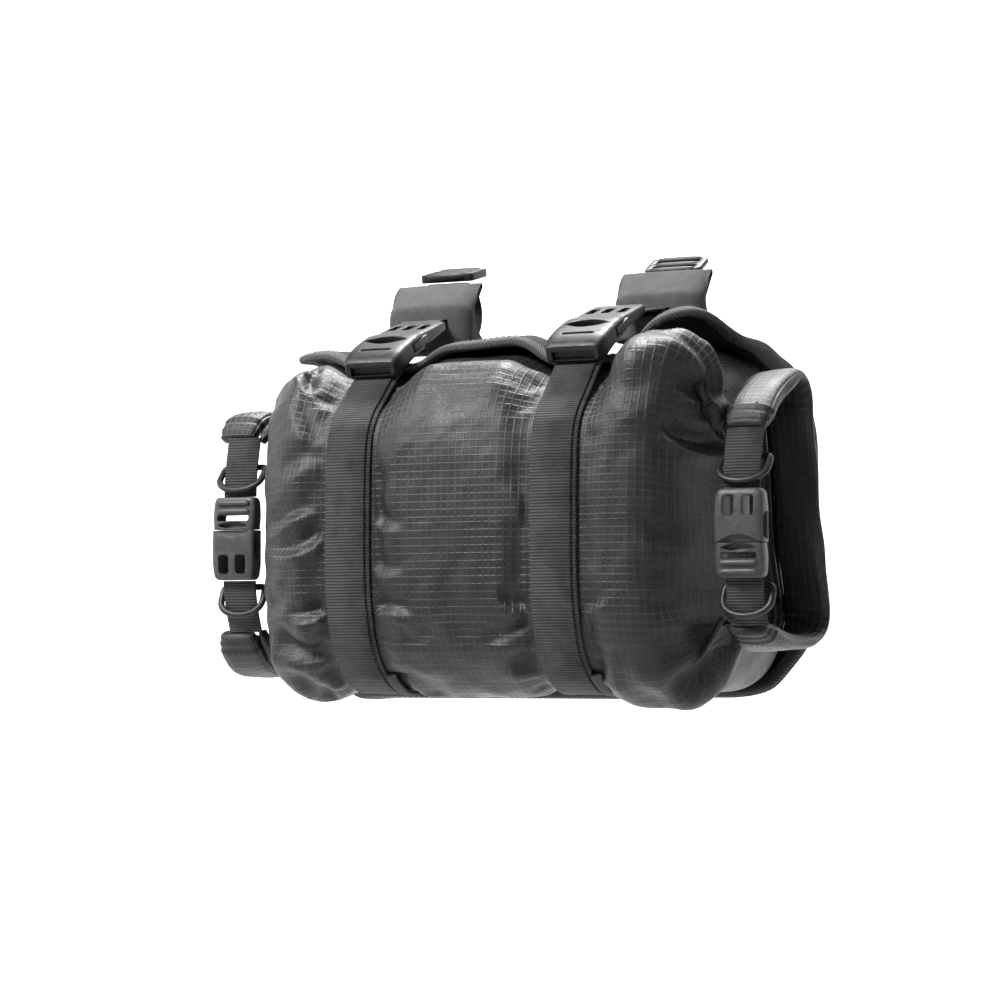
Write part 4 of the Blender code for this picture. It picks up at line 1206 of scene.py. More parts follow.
BODY_CREASES = (
    # Left end: corner pocket, dents beside the chain, the lower crease with its lip
    Crease(299, 361, 313, 387, 9, 4.0, 1.5),
    Crease(304, 400, 318, 440, 10, 1.6, 0.6),
    Crease(267, 529, 306, 504, 9, 2.6, 1.4),
    Crease(270, 548, 322, 527, 9, 2.4, 1.6),
    Crease(268, 600, 281, 603, 12, 4.5, 0.8),
    Crease(274, 630, 306, 656, 8, 4.2, 2.6),
    Crease(304, 655, 324, 650, 8, 3.4, 1.6),
    Crease(288, 611, 331, 604, 8, 2.2, 1.2),
    Crease(297, 634, 329, 618, 8, -1.8, 0.0),
    Crease(276, 643, 334, 700, 7, 2.2, 1.4),
    Crease(286, 651, 360, 672, 8, 1.8, 1.0),
    Crease(297, 674, 334, 700, 8, 1.8, 1.0),
    Crease(283, 470, 312, 452, 10, 1.4, 0.7),
    # Middle: puckers beside the straps, low folds
    Crease(368, 500, 398, 525, 8, 1.6, 0.9),
    Crease(373, 606, 409, 611, 7, 2.2, 1.3),
    Crease(372, 560, 402, 566, 8, 1.2, 0.6),
    Crease(500, 594, 533, 604, 8, 1.8, 1.0),
    Crease(486, 638, 537, 609, 9, 2.2, 1.1),
    Crease(508, 666, 549, 645, 9, 2.4, 1.2),
    Crease(402, 674, 446, 694, 9, 2.2, 1.0),
    Crease(400, 640, 432, 628, 9, 1.3, 0.7),
    Crease(505, 486, 520, 520, 10, -1.2, 0.0),
    Crease(452, 560, 470, 640, 14, 0.9, 0.4),
    # Right end: gathers under the band, the almond dent, the big ridge and its valley
    Crease(671, 324, 738, 402, 8, 3.0, 1.6),
    Crease(690, 321, 735, 364, 7, 2.8, 1.4),
    Crease(728, 329, 743, 396, 7, -2.0, 0.0),
    Crease(674, 378, 726, 397, 9, 2.4, 1.2),
    Crease(700, 345, 765, 400, 7, 2.2, 1.4),
    Crease(668, 424, 728, 440, 11, 4.6, 2.8),
    Crease(578, 604, 601, 594, 8, 1.8, 1.0),
    Crease(582, 622, 603, 671, 8, 1.8, 0.9),
    Crease(648, 530, 684, 542, 11, 1.4, 0.8),
    Crease(676, 697, 748, 637, 12, -4.2, 0.0),
    Crease(670, 686, 737, 630, 10, 4.6, 0.0),
    Crease(724, 703, 774, 650, 8, 3.0, 1.6),
    Crease(618, 672, 664, 690, 10, 1.6, 0.8),
    Crease(640, 590, 700, 600, 14, 1.0, 0.5),
    Crease(606, 402, 668, 410, 14, -1.2, 0.0),
)


def fold_depth(view: PhotoCamera, points: Array, normals: Array, creases: Sequence[Crease]) -> Array:
    """How far charted folds move a surface along its normals.

    Args:
        view: The photo's camera.
        points: The surface's points.
        normals: Its outward normals.
        creases: The folds.

    Returns:
        Metres, positive outward.
    """
    across, down = view.pixels_of(points)
    shown = eased(0.02, 0.30, view.facing(points, normals))
    total = np.zeros(across.shape)
    for fold in creases:
        start = np.array([fold.left, fold.top])
        run = np.array([fold.right, fold.low]) - start
        length = float(np.hypot(*run))
        run = run / length
        off_x, off_y = across - start[0], down - start[1]
        t = off_x * run[0] + off_y * run[1]
        away = off_y * run[0] - off_x * run[1]
        away = away if run[0] >= 0 else -away
        bend = 0.10 * length * np.sin(np.clip(t / length, 0, 1) * math.pi)
        away = away + bend * (1 if int(fold.left) % 2 else -1)
        ends = eased(-fold.width, fold.width * 1.2, t) * eased(length + fold.width, length - fold.width * 1.2, t)
        valley = -fold.depth * np.exp(-((away / fold.width) ** 2))
        lip = fold.lip * np.exp(-(((away - 1.45 * fold.width) / (0.75 * fold.width)) ** 2))
        total += (valley + lip) * ends
    return total * 0.0015 * shown


def surface_normals(grid: Array) -> Array:
    """Outward normals of a grid of rings whose points run round the bag from its front upward."""
    along = np.gradient(grid, axis=0)
    ring = np.concatenate([grid[:, -1:], grid, grid[:, :1]], 1)
    around = (ring[:, 2:] - ring[:, :-2]) / 2.0
    normals = unit(np.cross(around, along))
    middle = grid[len(grid) // 2]
    outward = middle - middle.mean(0)
    if np.sum(outward * normals[len(grid) // 2]) < 0:
        normals = -normals
    return normals


# The bag's own pieces


@dataclass
class BagBody:
    """The cloth sleeve, with its gathers, dents and folds."""

    form: BagForm
    view: PhotoCamera
    stations: int = 262
    inner_stations: int = 70
    front_steps: int = 95
    back_steps: int = 30
    wall: float = 0.0011
    pleat_depth: float = 0.0016
    pleats: float = 21.0
    ripple: float = 0.00058
    pucker: float = 0.0012

    def turns(self) -> Array:
        """Angles round the bag, close together on its front half and even along the cloth."""
        quadrants = []
        for quadrant in range(4):
            steps = self.front_steps if quadrant in (0, 3) else self.back_steps
            share = np.linspace(0.0, 1.0, steps, endpoint=False)
            swing = 1.0 / self.form.power
            share = share**swing / (share**swing + (1.0 - share) ** swing)
            quadrants.append((quadrant + share) * math.pi / 2.0)
        return np.concatenate(quadrants)

    def places(self, count: int) -> Array:
        """Stations along the bag, closer together towards its necks."""
        t = np.linspace(-1.0, 1.0, count)
        share = 0.72 * t + 0.28 * np.sin(t * math.pi / 2.0)
        share = share / share.max()
        return np.where(share > 0, share * self.form.neck_right, -share * self.form.neck_left)

    def free(self, x: Array, degrees: Array) -> Array:
        """One where the cloth is free to fold, zero where straps or harness lie on it."""
        free = hump(degrees + 6.0, 74.0, 10.0)
        for middle in self.form.straps:
            free = free * (1.0 - hump(x - middle, self.form.strap_width * 0.56, 0.006) * hump(degrees + 26.0, 68.0, 8.0))
        return free

    def gathers(self, x: Array, turn: Array) -> Array:
        """Radial pleats where the cloth draws in towards the necks."""
        share = np.where(x > 0, x / self.form.neck_right, -x / self.form.neck_left)
        right = hump(np.where(x > 0, share - 0.88, 1.0), 0.03, 0.12)
        left = hump(np.where(x <= 0, share + 0.90, 1.0), 0.03, 0.12)
        wave = np.cos(self.pleats * turn + 3.0 * np.sin(3.0 * turn) + 2.2 * np.sin(5.0 * turn + 1.0))
        upper = 0.35 + 0.65 * eased(0.15, 0.75, np.sin(turn))
        return self.pleat_depth * (right * upper + left * 0.5 * upper) * (wave - 0.4)

    def surface(self, x: Array, turn: Array) -> tuple[Array, Array]:
        """The folded skin.

        Args:
            x: Places along the bag, as a grid.
            turn: Angles round it, as a grid.

        Returns:
            The points, and their outward normals before folding.
        """
        base = self.form.cloth(x, turn)
        normals = surface_normals(base)
        degrees = np.degrees(np.remainder(turn + math.pi, math.tau) - math.pi)
        free = self.free(x, degrees)
        arc = turn * (self.form.half_depth + self.form.half_height) / 2.0
        moved = fold_depth(self.view, base, normals, BODY_CREASES) * free
        moved += self.gathers(x, turn) * free
        moved += self.ripple * wander(x, arc, 5, 0.034, 1.6) * free
        moved += self.ripple * 0.5 * wander(x, arc, 8, 0.013, 1.3) * free
        for middle in self.form.straps:
            beside = hump(np.abs(x - middle) - self.form.strap_width * 0.72, 0.001, 0.012)
            moved += self.pucker * beside * wander(x * 0.3, arc, 12, 0.016) * free
        sag = hump(x - 0.104, 0.006, 0.034) * hump(degrees + 64.0, 12.0, 18.0) * 0.0050
        sag += hump(x + 0.108, 0.006, 0.030) * hump(degrees + 60.0, 12.0, 18.0) * 0.0036
        moved += sag * free
        shoulder = hump(x - 0.100, 0.012, 0.040) * (1.0 - hump(x - self.form.strap_right, 0.020, 0.022))
        moved += shoulder * hump(degrees - 58.0, 10.0, 24.0) * free * 0.0110
        return base + normals * moved[..., None], normals

    def build(self, finishes: Finishes) -> None:
        """Build the sleeve as one closed double wall."""
        turns = self.turns()
        x, turn = np.meshgrid(self.places(self.stations), turns, indexing="ij")
        outer, _ = self.surface(x, turn)
        pick = np.linspace(0, self.stations - 1, self.inner_stations).round().astype(int)
        inner = outer[pick] - surface_normals(outer)[pick] * self.wall
        inner[0, :, 0], inner[-1, :, 0] = self.form.neck_left, self.form.neck_right
        grid = np.concatenate([outer, inner[::-1]])
        steps = np.linalg.norm(np.diff(outer, axis=0), axis=2).mean(1)
        down = np.concatenate([[0.0], np.cumsum(steps)])
        down = np.concatenate([down, down[pick][::-1], down[:1]])
        ring = outer[len(outer) // 2]
        around = running_length(np.vstack([ring, ring[:1]]))
        uv = np.stack(np.meshgrid(down, around, indexing="ij"), -1)
        body = grid_object("bag_cloth", grid, uv, closed=True)
        dress(body, finishes.cloth, ["bag_body"])


@dataclass
class ClosureRoll:
    """One rolled-up end: several turns of flattened cloth, bent into a C."""

    form: BagForm
    side: Side
    width: float = 0.0265
    thickness: float = 0.0125
    gap: float = 0.0004
    hems: tuple[float, float, float] = (0.0, 0.0048, 0.0096)
    hem_step: float = 0.0011
    rings: int = 300
    around: int = 72
    wrinkle: float = 0.0007
    ridge: float = 0.00045
    back_share: float = 0.62

    def build(self, finishes: Finishes) -> None:
        """Build the roll with its stepped hems, coil edges and wrinkles."""
        line = self.form.closure_line(self.side, self.rings)
        normals = left_normals(line)
        length = running_length(line)
        tip = np.minimum(length, length[-1] - length)
        bend = np.abs(np.gradient(np.unwrap(np.arctan2(normals[:, 1], normals[:, 0])), length))
        neck = self.form.neck_right if self.side is Side.RIGHT else self.form.neck_left
        middle = neck + self.side.value * (self.gap + self.width / 2.0)
        angle = np.linspace(0.0, math.tau, self.around, endpoint=False)
        shape = superellipse(self.around, 0.5, 0.5, 0.72)
        grow = -self.hem_step * (3.0 - sum(eased(hem, hem + 0.0004, tip) for hem in self.hems))
        l_grid, a_grid = np.meshgrid(length, angle, indexing="ij")
        seed = 31 if self.side is Side.RIGHT else 47
        creased = eased(6.0, 45.0, bend)[:, None]
        inner_side = eased(-0.2, 0.8, -np.sin(a_grid))
        moved = -self.wrinkle * 1.6 * creased * inner_side * (0.5 + 0.5 * np.cos(l_grid * math.tau / 0.0062 + 2 * np.sin(a_grid * 2)))
        moved += self.wrinkle * wander(l_grid, a_grid * 0.008, seed, 0.021, 1.5)
        for turn_edge, sink in ((0.35, 0.5), (-0.30, 0.45), (2.75, 0.5), (3.45, 0.4)):
            off = np.remainder(a_grid - turn_edge - 0.12 * np.sin(l_grid * 60.0) + math.pi, math.tau) - math.pi
            moved -= self.ridge * sink * 2.0 * np.exp(-((off / 0.10) ** 2))
        moved *= eased(0.0, 0.004, tip)[:, None]
        half_a = self.width / 2.0 + grow[:, None] + moved
        slim = self.back_share + (1.0 - self.back_share) * (1.0 - eased(0.018, 0.060, tip))[:, None]
        half_b = self.thickness / 2.0 * slim + grow[:, None] + moved
        close = (0.86 + 0.14 * eased(0.0, 0.0016, tip))[:, None]
        across = shape[None, :, 0] * 2.0 * half_a * close
        out = shape[None, :, 1] * 2.0 * half_b * close + (self.thickness * slim - self.form.neck_thickness) / 2.0
        grid = np.zeros((self.rings, self.around, 3))
        grid[..., 0] = middle + across
        grid[..., 1:] = line[:, None, :] + normals[:, None, :] * out[..., None]
        roll = grid_object(f"roll_{self.side.word}_cloth", grid, ring_uv(grid))
        dress(roll, finishes.cloth, [f"roll_{self.side.word}"])
        self.build_hem_stitches(finishes, line, normals, length, middle)

    def build_hem_stitches(self, finishes: Finishes, line: Array, normals: Array, length: Array, middle: float) -> None:
        """Sew a row of stitches beside the outermost hem at both tips."""
        places, runs, outs = [], [], []
        for start in (0.0125, length[-1] - 0.0125):
            at = int(np.argmin(np.abs(length - start)))
            for offset in np.arange(-0.0105, 0.0106, 0.0030):
                y, z = line[at] + normals[at] * ((self.thickness - self.form.neck_thickness) / 2.0 + self.thickness / 2.0)
                places.append((middle + offset, y, z))
                runs.append((1.0, 0.0, 0.0))
                outs.append((0.0, *normals[at]))
        sewn = stitches(
            f"roll_{self.side.word}_stitches", np.array(places), np.array(runs), np.array(outs), 0.0022, 0.00045
        )
        dress(sewn, finishes.thread)


@dataclass
class Harness:
    """The padded panel behind the bag and the tape bound round its edge."""

    form: BagForm
    thickness: float = 0.0045
    columns: int = 110
    rows: int = 90
    binding_width: float = 0.0108
    binding_height: float = 0.0058
    binding_gap: float = 0.0004
    stitch_pitch: float = 0.0036

    def build(self, finishes: Finishes) -> None:
        """Build the panel, its binding and its stitches."""
        self.build_panel(finishes)
        self.build_binding(finishes)

    def build_panel(self, finishes: Finishes) -> None:
        """Build the panel, full in its middle and pinched towards its bound edge."""
        x = np.linspace(self.form.panel_left, self.form.panel_right, self.columns)
        top, bottom = self.form.panel_edges(x)
        share = np.linspace(0.0, 1.0, self.rows)
        degrees = top[:, None] + (bottom - top)[:, None] * share[None, :]
        x_grid = np.repeat(x[:, None], self.rows, 1)
        edge = np.minimum(share, 1.0 - share)[None, :] * 0.42
        ends = np.minimum(x - self.form.panel_left, self.form.panel_right - x)[:, None]
        pinch = eased(0.0, 0.018, np.minimum(edge, ends))
        quilt = 0.0007 * wander(x_grid, degrees * 0.0017, 21, 0.06)
        swell = 0.62 + 0.38 * pinch
        outer = self.form.panel(x_grid, degrees, self.thickness * (0.5 + 0.5 * swell) + quilt * pinch)
        inner = self.form.panel(x_grid, degrees, self.thickness * (0.5 - 0.5 * swell))
        grid = np.concatenate([outer, inner[:, ::-1]], 1)
        panel = grid_object("harness_padding", grid, ring_uv(grid), sharp=60.0)
        dress(panel, finishes.panel, ["harness_panel"])

    def edge_line(self, count: int = 620) -> tuple[Array, Array]:
        """Points along the panel's edge with rounded corners, as along and degrees.

        Args:
            count: How many points.

        Returns:
            Places along the bag, and degrees round it.
        """
        x = np.linspace(self.form.panel_left, self.form.panel_right, 160)
        top, bottom = self.form.panel_edges(x)
        side = np.linspace(0.0, 1.0, 90)[1:-1]
        outline = np.concatenate(
            [
                np.stack([x, top], 1),
                np.stack([np.full_like(side, x[-1]), top[-1] + (bottom[-1] - top[-1]) * side], 1),
                np.stack([x, bottom], 1)[::-1],
                np.stack([np.full_like(side, x[0]), bottom[0] + (top[0] - bottom[0]) * side], 1),
            ]
        )
        points = self.form.panel(outline[:, 0], outline[:, 1], np.full(len(outline), self.thickness / 2.0))
        length = running_length(np.vstack([points, points[:1]]))
        looped = np.vstack([outline, outline[:1]])
        wanted = np.linspace(0.0, length[-1], count, endpoint=False)
        return np.interp(wanted, length, looped[:, 0]), np.interp(wanted, length, looped[:, 1])

    def build_binding(self, finishes: Finishes) -> None:
        """Build the tape as a soft flat tube along the panel's edge, and sew it on."""
        x, degrees = self.edge_line()
        middle = self.thickness / 2.0
        places = self.form.panel(x, degrees, np.full_like(x, middle))
        high = self.form.panel(x, degrees, np.full_like(x, middle + 0.002))
        blur = np.array([1, 4, 6, 4, 1]) / 16.0

        def even(values: Array, times: int) -> Array:
            """Smooth a closed line of vectors."""
            for _ in range(times):
                ring = np.concatenate([values[-2:], values, values[:2]])
                values = sum(weight * ring[k : k + len(values)] for k, weight in enumerate(blur))
            return values

        places = even(places, 10)
        normal = unit(even(high - places, 8))
        run = unit(np.roll(places, -1, 0) - np.roll(places, 1, 0))
        outward = unit(np.cross(run, normal))
        if np.mean(outward[: len(outward) // 6, 1]) > 0:
            outward = -outward
        outward = unit(even(outward, 14))
        length = running_length(np.vstack([places, places[:1]]))
        shape = superellipse(28, 0.5, 0.5, 0.62)
        wave = 1.0 + 0.06 * wander(length[:-1], np.zeros(len(x)), 64, 0.05)
        grid = np.zeros((len(x), len(shape), 3))
        for k, (a, b) in enumerate(shape):
            side = (a + 0.5) * self.binding_width * wave + self.binding_gap
            rise = b * self.binding_height * (1.0 - 0.18 * (a + 0.5))
            grid[:, k] = places + outward * side[:, None] + normal * rise
        tape = grid_object("binding_cloth", grid, ring_uv(grid, closed=True), closed=True)
        dress(tape, finishes.tape, ["harness_binding"])
        wanted = np.arange(0.0, length[-1], self.stitch_pitch)
        index = np.searchsorted(length[:-1], wanted) % len(x)
        along = run[index]
        sewn = []
        for face in (1.0, -1.0):
            spot = places[index] + outward[index] * (self.binding_gap + self.binding_width * 0.16)
            spot = spot + normal[index] * face * self.binding_height * 0.47
            sewn.append(
                stitches(f"binding_stitches_{face:.0f}", spot, along, normal[index] * face, 0.0026, 0.0005)
            )
        dress(join(sewn, "binding_stitches"), finishes.thread)


@dataclass
class FrontStrap:
    """One webbing strap from under its buckle, down the front and round under the bag."""

    form: BagForm
    side: Side
    tilt: float = math.radians(24.5)
    buckle_reach: float = 0.716
    buckle_drop: float = 0.0080
    buckle_thickness: float = 0.0119
    first: float = 34.0
    last: float = -81.8
    layer: float = 0.0012
    shift: float = 0.0026
    tab_width: float = 0.0068
    tab_degrees: tuple[float, float] = (-49.0, -74.0)
    ease: float = 0.0004
    smoothing: int = 60

    @property
    def middle(self) -> float:
        """Middle of the strap across the bag."""
        return self.form.strap_right if self.side is Side.RIGHT else self.form.strap_left

    def line(self, away: float, reach: float = 0.0) -> Array:
        """Middle line of a layer.

        Args:
            away: How far off the skin it lies.
            reach: Degrees by which it goes on past its lower end.

        Returns:
            Points (y, z), evenly spaced.
        """
        y, _ = self.form.centre
        front = np.array([y - self.buckle_reach * self.form.half_depth, self.form.top - self.buckle_drop])
        slope = np.array([math.cos(self.tilt), math.sin(self.tilt)])
        under = np.array([slope[1], -slope[0]])
        start = [front + slope * back + under * (self.buckle_thickness + low - away) for back, low in ((0.012, 0.0), (0.005, 0.001))]
        ends = np.array([self.first, self.last - reach])
        ends = np.sign(ends) * (np.abs(ends) / 90.0) ** self.form.power
        share = np.linspace(ends[0], ends[1], 60)
        even = np.sign(share) * np.abs(share) ** (1.0 / self.form.power) * 90.0
        down = self.form.strap_line(self.middle, even, away + self.ease)
        line = smooth_line(np.vstack([start, down]), 260)
        for _ in range(self.smoothing):
            line[1:-1] = (line[:-2] + 2.0 * line[1:-1] + line[2:]) / 4.0
        return line

    def span(self, line: Array) -> tuple[int, int]:
        """Indexes of the line's points where the tab starts and ends."""
        marks = self.form.strap_line(self.middle, np.array(self.tab_degrees), 0.0)
        first, last = (int(np.argmin(np.linalg.norm(line - mark, axis=1))) for mark in marks)
        return first, last

    def build(self, finishes: Finishes) -> None:
        """Build both layers, the tab beside them and the stitches."""
        layers = []
        for name, lift, shift in (("under", 0.0009, self.shift), ("outer", 0.0023, 0.0)):
            line = self.line(lift)
            x = np.full(len(line), self.middle + shift * 0.5)
            x = x + (shift * 0.5 - self.shift * 0.25) + 0.00025 * wander(np.linspace(0, 0.3, len(line)), x * 0, 9, 0.05)
            grid = band_grid(np.column_stack([x, line]), self.form.strap_width - self.shift * 0.5, self.layer)
            layers.append(grid_object(f"strap_{name}", grid, ring_uv(grid), sharp=60.0))
        strap = join(layers, f"strap_{self.side.word}_webbing")
        dress(strap, finishes.webbing, [f"strap_{self.side.word}"])
        self.build_tab(finishes)
        self.build_stitches(finishes)

    def build_tab(self, finishes: Finishes) -> None:
        """Build the folded tab at the strap's lower right edge."""
        line = self.line(0.0026)
        first, last = self.span(line)
        line = line[first:last]
        x = np.full(len(line), self.middle + self.form.strap_width / 2.0 + 0.0004 + self.tab_width / 2.0)
        grid = band_grid(np.column_stack([x, line]), self.tab_width, 0.0020)
        tab = grid_object(f"strap_tab_{self.side.word}_webbing", grid, ring_uv(grid), sharp=60.0)
        dress(tab, finishes.smooth_webbing, [f"strap_tab_{self.side.word}"])

    def build_stitches(self, finishes: Finishes) -> None:
        """Sew the zigzag on the tab and the rows across the strap's lower end."""
        line = self.line(0.0036)
        out = left_normals(line)
        run = unit(np.gradient(line, axis=0))
        x0 = self.middle + self.form.strap_width / 2.0 + 0.0004 + self.tab_width / 2.0
        places, along, normal = [], [], []
        first, last = self.span(line)
        for i, at in enumerate(range(first + 4, last - 1, 2)):
            slant = 1.0 if i % 2 else -1.0
            places.append((x0, *(line[at] + out[at] * 0.0002)))
            along.append((slant * 1.6, *(run[at] * 0.8)))
            normal.append((0.0, *out[at]))
        for at in (first + 3, last - 2):
            for offset in np.arange(-0.0108, 0.0109, 0.0027):
                places.append((self.middle + offset, *(line[at] - out[at] * 0.0006)))
                along.append((1.0, 0.0, 0.0))
                normal.append((0.0, *out[at]))
        sewn = stitches(
            f"strap_{self.side.word}_stitches", np.array(places), np.array(along), np.array(normal), 0.0023, 0.0005
        )
        dress(sewn, finishes.thread)


class Profile(NamedTuple):
    """A section of a moulded part: place along it, half width, top and bottom, in shares."""

    back: float
    wide: float
    top: float
    low: float


def moulded(
    name: str, rows: Sequence[Profile], size: tuple[float, float, float], place: Matrix, power: float = 0.34, rings: int = 26
) -> bpy.types.Object:
    """Loft a moulded part through rounded sections.

    Args:
        name: The object's name.
        rows: Its sections.
        size: Width, length and thickness that the shares stand for.
        place: Where its own axes stand: X across, Y along, Z up from its top face.
        power: How square its sections are, less is squarer.
        rings: How many sections to draw.

    Returns:
        The part in the frame's axes.
    """
    width, length, thickness = size
    ys = np.linspace(rows[0].back, rows[-1].back, rings)
    shape = superellipse(36, 0.5, 0.5, power) * 2.0
    grid = np.zeros((rings, 36, 3))
    for k, back in enumerate(ys):
        half = table_value(rows, back, 1) * width / 2.0
        top, low = table_value(rows, back, 2) * thickness, table_value(rows, back, 3) * thickness
        grid[k, :, 0] = shape[:, 0] * half
        grid[k, :, 1] = back * length
        grid[k, :, 2] = (top + low) / 2.0 + shape[:, 1] * (top - low) / 2.0
    made = grid_object(name, grid)
    made.data.transform(place)
    return made


def block(name: str, size: tuple[float, float, float], middle: tuple[float, float, float], place: Matrix, edge: float = 0.0) -> bpy.types.Object:
    """A box in a part's own axes, with its upright corners rounded.

    Args:
        name: The object's name.
        size: Its size along X, Y and Z.
        middle: Its middle.
        place: Where the part's axes stand in the frame.
        edge: Corner radius.

    Returns:
        The box in the frame's axes.
    """
    x, y = size[0] / 2.0, size[1] / 2.0
    outline = rounded_outline([(-x, -y), (x, -y), (x, y), (-x, y)], edge or 0.0002, 5)
    return plate(name, [outline], size[2], place @ Matrix.Translation(middle), 0.0001)


def lens_outline(length: float, width: float, steps: int = 18) -> list[tuple[float, float]]:
    """A lens shape of a length across and a width, pointed at both ends."""
    t = np.linspace(0.0, 1.0, steps)
    upper = [(float(length * (s - 0.5)), float(width * 0.5 * math.sin(math.pi * s))) for s in t]
    lower = [(-a, -b) for a, b in upper]
    return upper[:-1] + lower[:-1]


@dataclass
class TopBuckle:
    """A large side-release buckle on top of the bag."""

    form: BagForm
    side: Side
    width: float = 0.0345
    length: float = 0.068
    thickness: float = 0.0115
    tilt: float = math.radians(24.5)
    reach: float = 0.716
    drops: tuple[float, float] = (0.0080, 0.0045)
    front_rows: tuple[Profile, ...] = (
        Profile(0.000, 0.86, -0.10, -0.80), Profile(0.012, 0.93, -0.02, -0.92), Profile(0.045, 0.97, 0.08, -0.96),
        Profile(0.120, 1.00, 0.22, -0.90), Profile(0.260, 1.00, 0.31, -0.74), Profile(0.420, 0.99, 0.34, -0.66),
        Profile(0.530, 0.96, 0.28, -0.62), Profile(0.542, 0.94, 0.24, -0.60),
    )
    rear_rows: tuple[Profile, ...] = (
        Profile(0.547, 0.86, 0.20, -0.58), Profile(0.600, 0.89, 0.18, -0.60), Profile(0.760, 0.91, 0.09, -0.58),
        Profile(0.900, 0.90, 0.00, -0.56), Profile(0.980, 0.87, -0.08, -0.55), Profile(1.000, 0.82, -0.14, -0.50),
    )

    @property
    def middle(self) -> float:
        """Middle of the buckle across the bag."""
        return self.form.strap_right if self.side is Side.RIGHT else self.form.strap_left

    def place(self) -> Matrix:
        """Where the buckle's own axes stand: X across, Y back along it, Z up off its top."""
        y, _ = self.form.centre
        drop = self.drops[1 if self.side is Side.RIGHT else 0]
        front = Vector((self.middle, y - self.reach * self.form.half_depth, self.form.top - drop))
        return Matrix.Translation(front) @ Matrix.Rotation(self.tilt, 4, "X")

    def build(self, finishes: Finishes) -> None:
        """Build the two fastened halves."""
        place = self.place()
        size = (self.width, self.length, self.thickness)
        name = f"top_buckle_{self.side.word}"
        front = moulded(f"{name}_housing", self.front_rows, size, place, 0.30)
        lens = plate("lens", [lens_outline(self.width * 0.80, self.length * 0.165)], 0.012, place @ Matrix.Translation((0.0, self.length * 0.345, 0.004)))
        cuts = [
            block("slot", (0.0190, 0.0024, 0.012), (0.0, self.length * 0.15, 0.0020), place, 0.0010),
            block("mouth", (self.width * 0.80, 0.030, 0.0050), (0.0, self.length * 0.46, -0.0022), place, 0.002),
            block("gate_left", (0.0060, 0.0120, 0.0058), (-self.width * 0.5, self.length * 0.40, -0.0016), place, 0.002),
            block("gate_right", (0.0060, 0.0120, 0.0058), (self.width * 0.5, self.length * 0.40, -0.0016), place, 0.002),
            block("throat", (0.0250, 0.0080, 0.0050), (0.0, 0.0, -0.0066), place, 0.001),
            lens,
        ]
        dress(carve(front, cuts), finishes.plastic, [f"{name}_front"])
        rear = moulded(f"{name}_clip", self.rear_rows, size, place, 0.30)
        cuts = [
            block(f"hole_{k}", (wide, 0.0112, 0.020), (offset, self.length * 0.76, 0.0), place, 0.0018)
            for k, (offset, wide) in enumerate(((-0.0092, 0.0050), (0.0, 0.0056), (0.0092, 0.0050)))
        ]
        cuts.append(block("webbing_way", (0.0258, 0.014, 0.0026), (0.0, self.length * 0.99, -0.0036), place, 0.001))
        clip = carve(rear, cuts)
        tongue = block("tongue", (self.width * 0.66, 0.0200, 0.0030), (0.0, self.length * 0.475, -0.0022), place, 0.003)
        arms = [
            block(f"arm_{k}", (0.0034, 0.0180, 0.0042), (k * self.width * 0.445, self.length * 0.47, -0.0018), place, 0.0016)
            for k in (-1, 1)
        ]
        clip = join([clip, tongue, *arms], f"{name}_clip")
        dress(clip, finishes.plastic, [f"{name}_rear"])


@dataclass
class BarStrap:
    """Webbing from a top buckle's rear through the foam and once round the bar."""

    buckle: TopBuckle
    bar_radius: float = 0.0159
    clearance: float = 0.0004
    thickness: float = 0.0016
    spacer_front: float = 0.0285
    slot_level: float = -0.0085
    wrap_start: float = 206.0
    wrap_turn: float = 252.0

    def build(self, finishes: Finishes) -> None:
        """Build the strap along its path."""
        side = self.buckle.side
        low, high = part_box(f"bar_strap_{side.word}")
        slot_x = high.x - 0.0127 if side is Side.RIGHT else low.x + 0.0127
        rear = self.buckle.place() @ Vector((0.0, self.buckle.length + 0.0004, -self.buckle.thickness * 0.5))
        path = [
            (rear.y, rear.z),
            (-self.spacer_front - 0.0055, self.slot_level + 0.0005),
            (-self.spacer_front + 0.0020, self.slot_level),
        ]
        ring = self.bar_radius + self.clearance + self.thickness / 2.0
        for degrees in np.linspace(self.wrap_start, self.wrap_start + self.wrap_turn, 40):
            angle = math.radians(degrees)
            path.append((ring * math.cos(angle), ring * math.sin(angle)))
        line = smooth_line(path, 220)
        x = self.buckle.middle + (slot_x - self.buckle.middle) * eased(0.0, 0.016, running_length(line))
        grid = band_grid(np.column_stack([x, line]), self.buckle.form.strap_width, self.thickness)
        strap = grid_object(f"bar_strap_{side.word}_webbing", grid, ring_uv(grid), sharp=60.0)
        dress(strap, finishes.webbing, [f"bar_strap_{side.word}"])


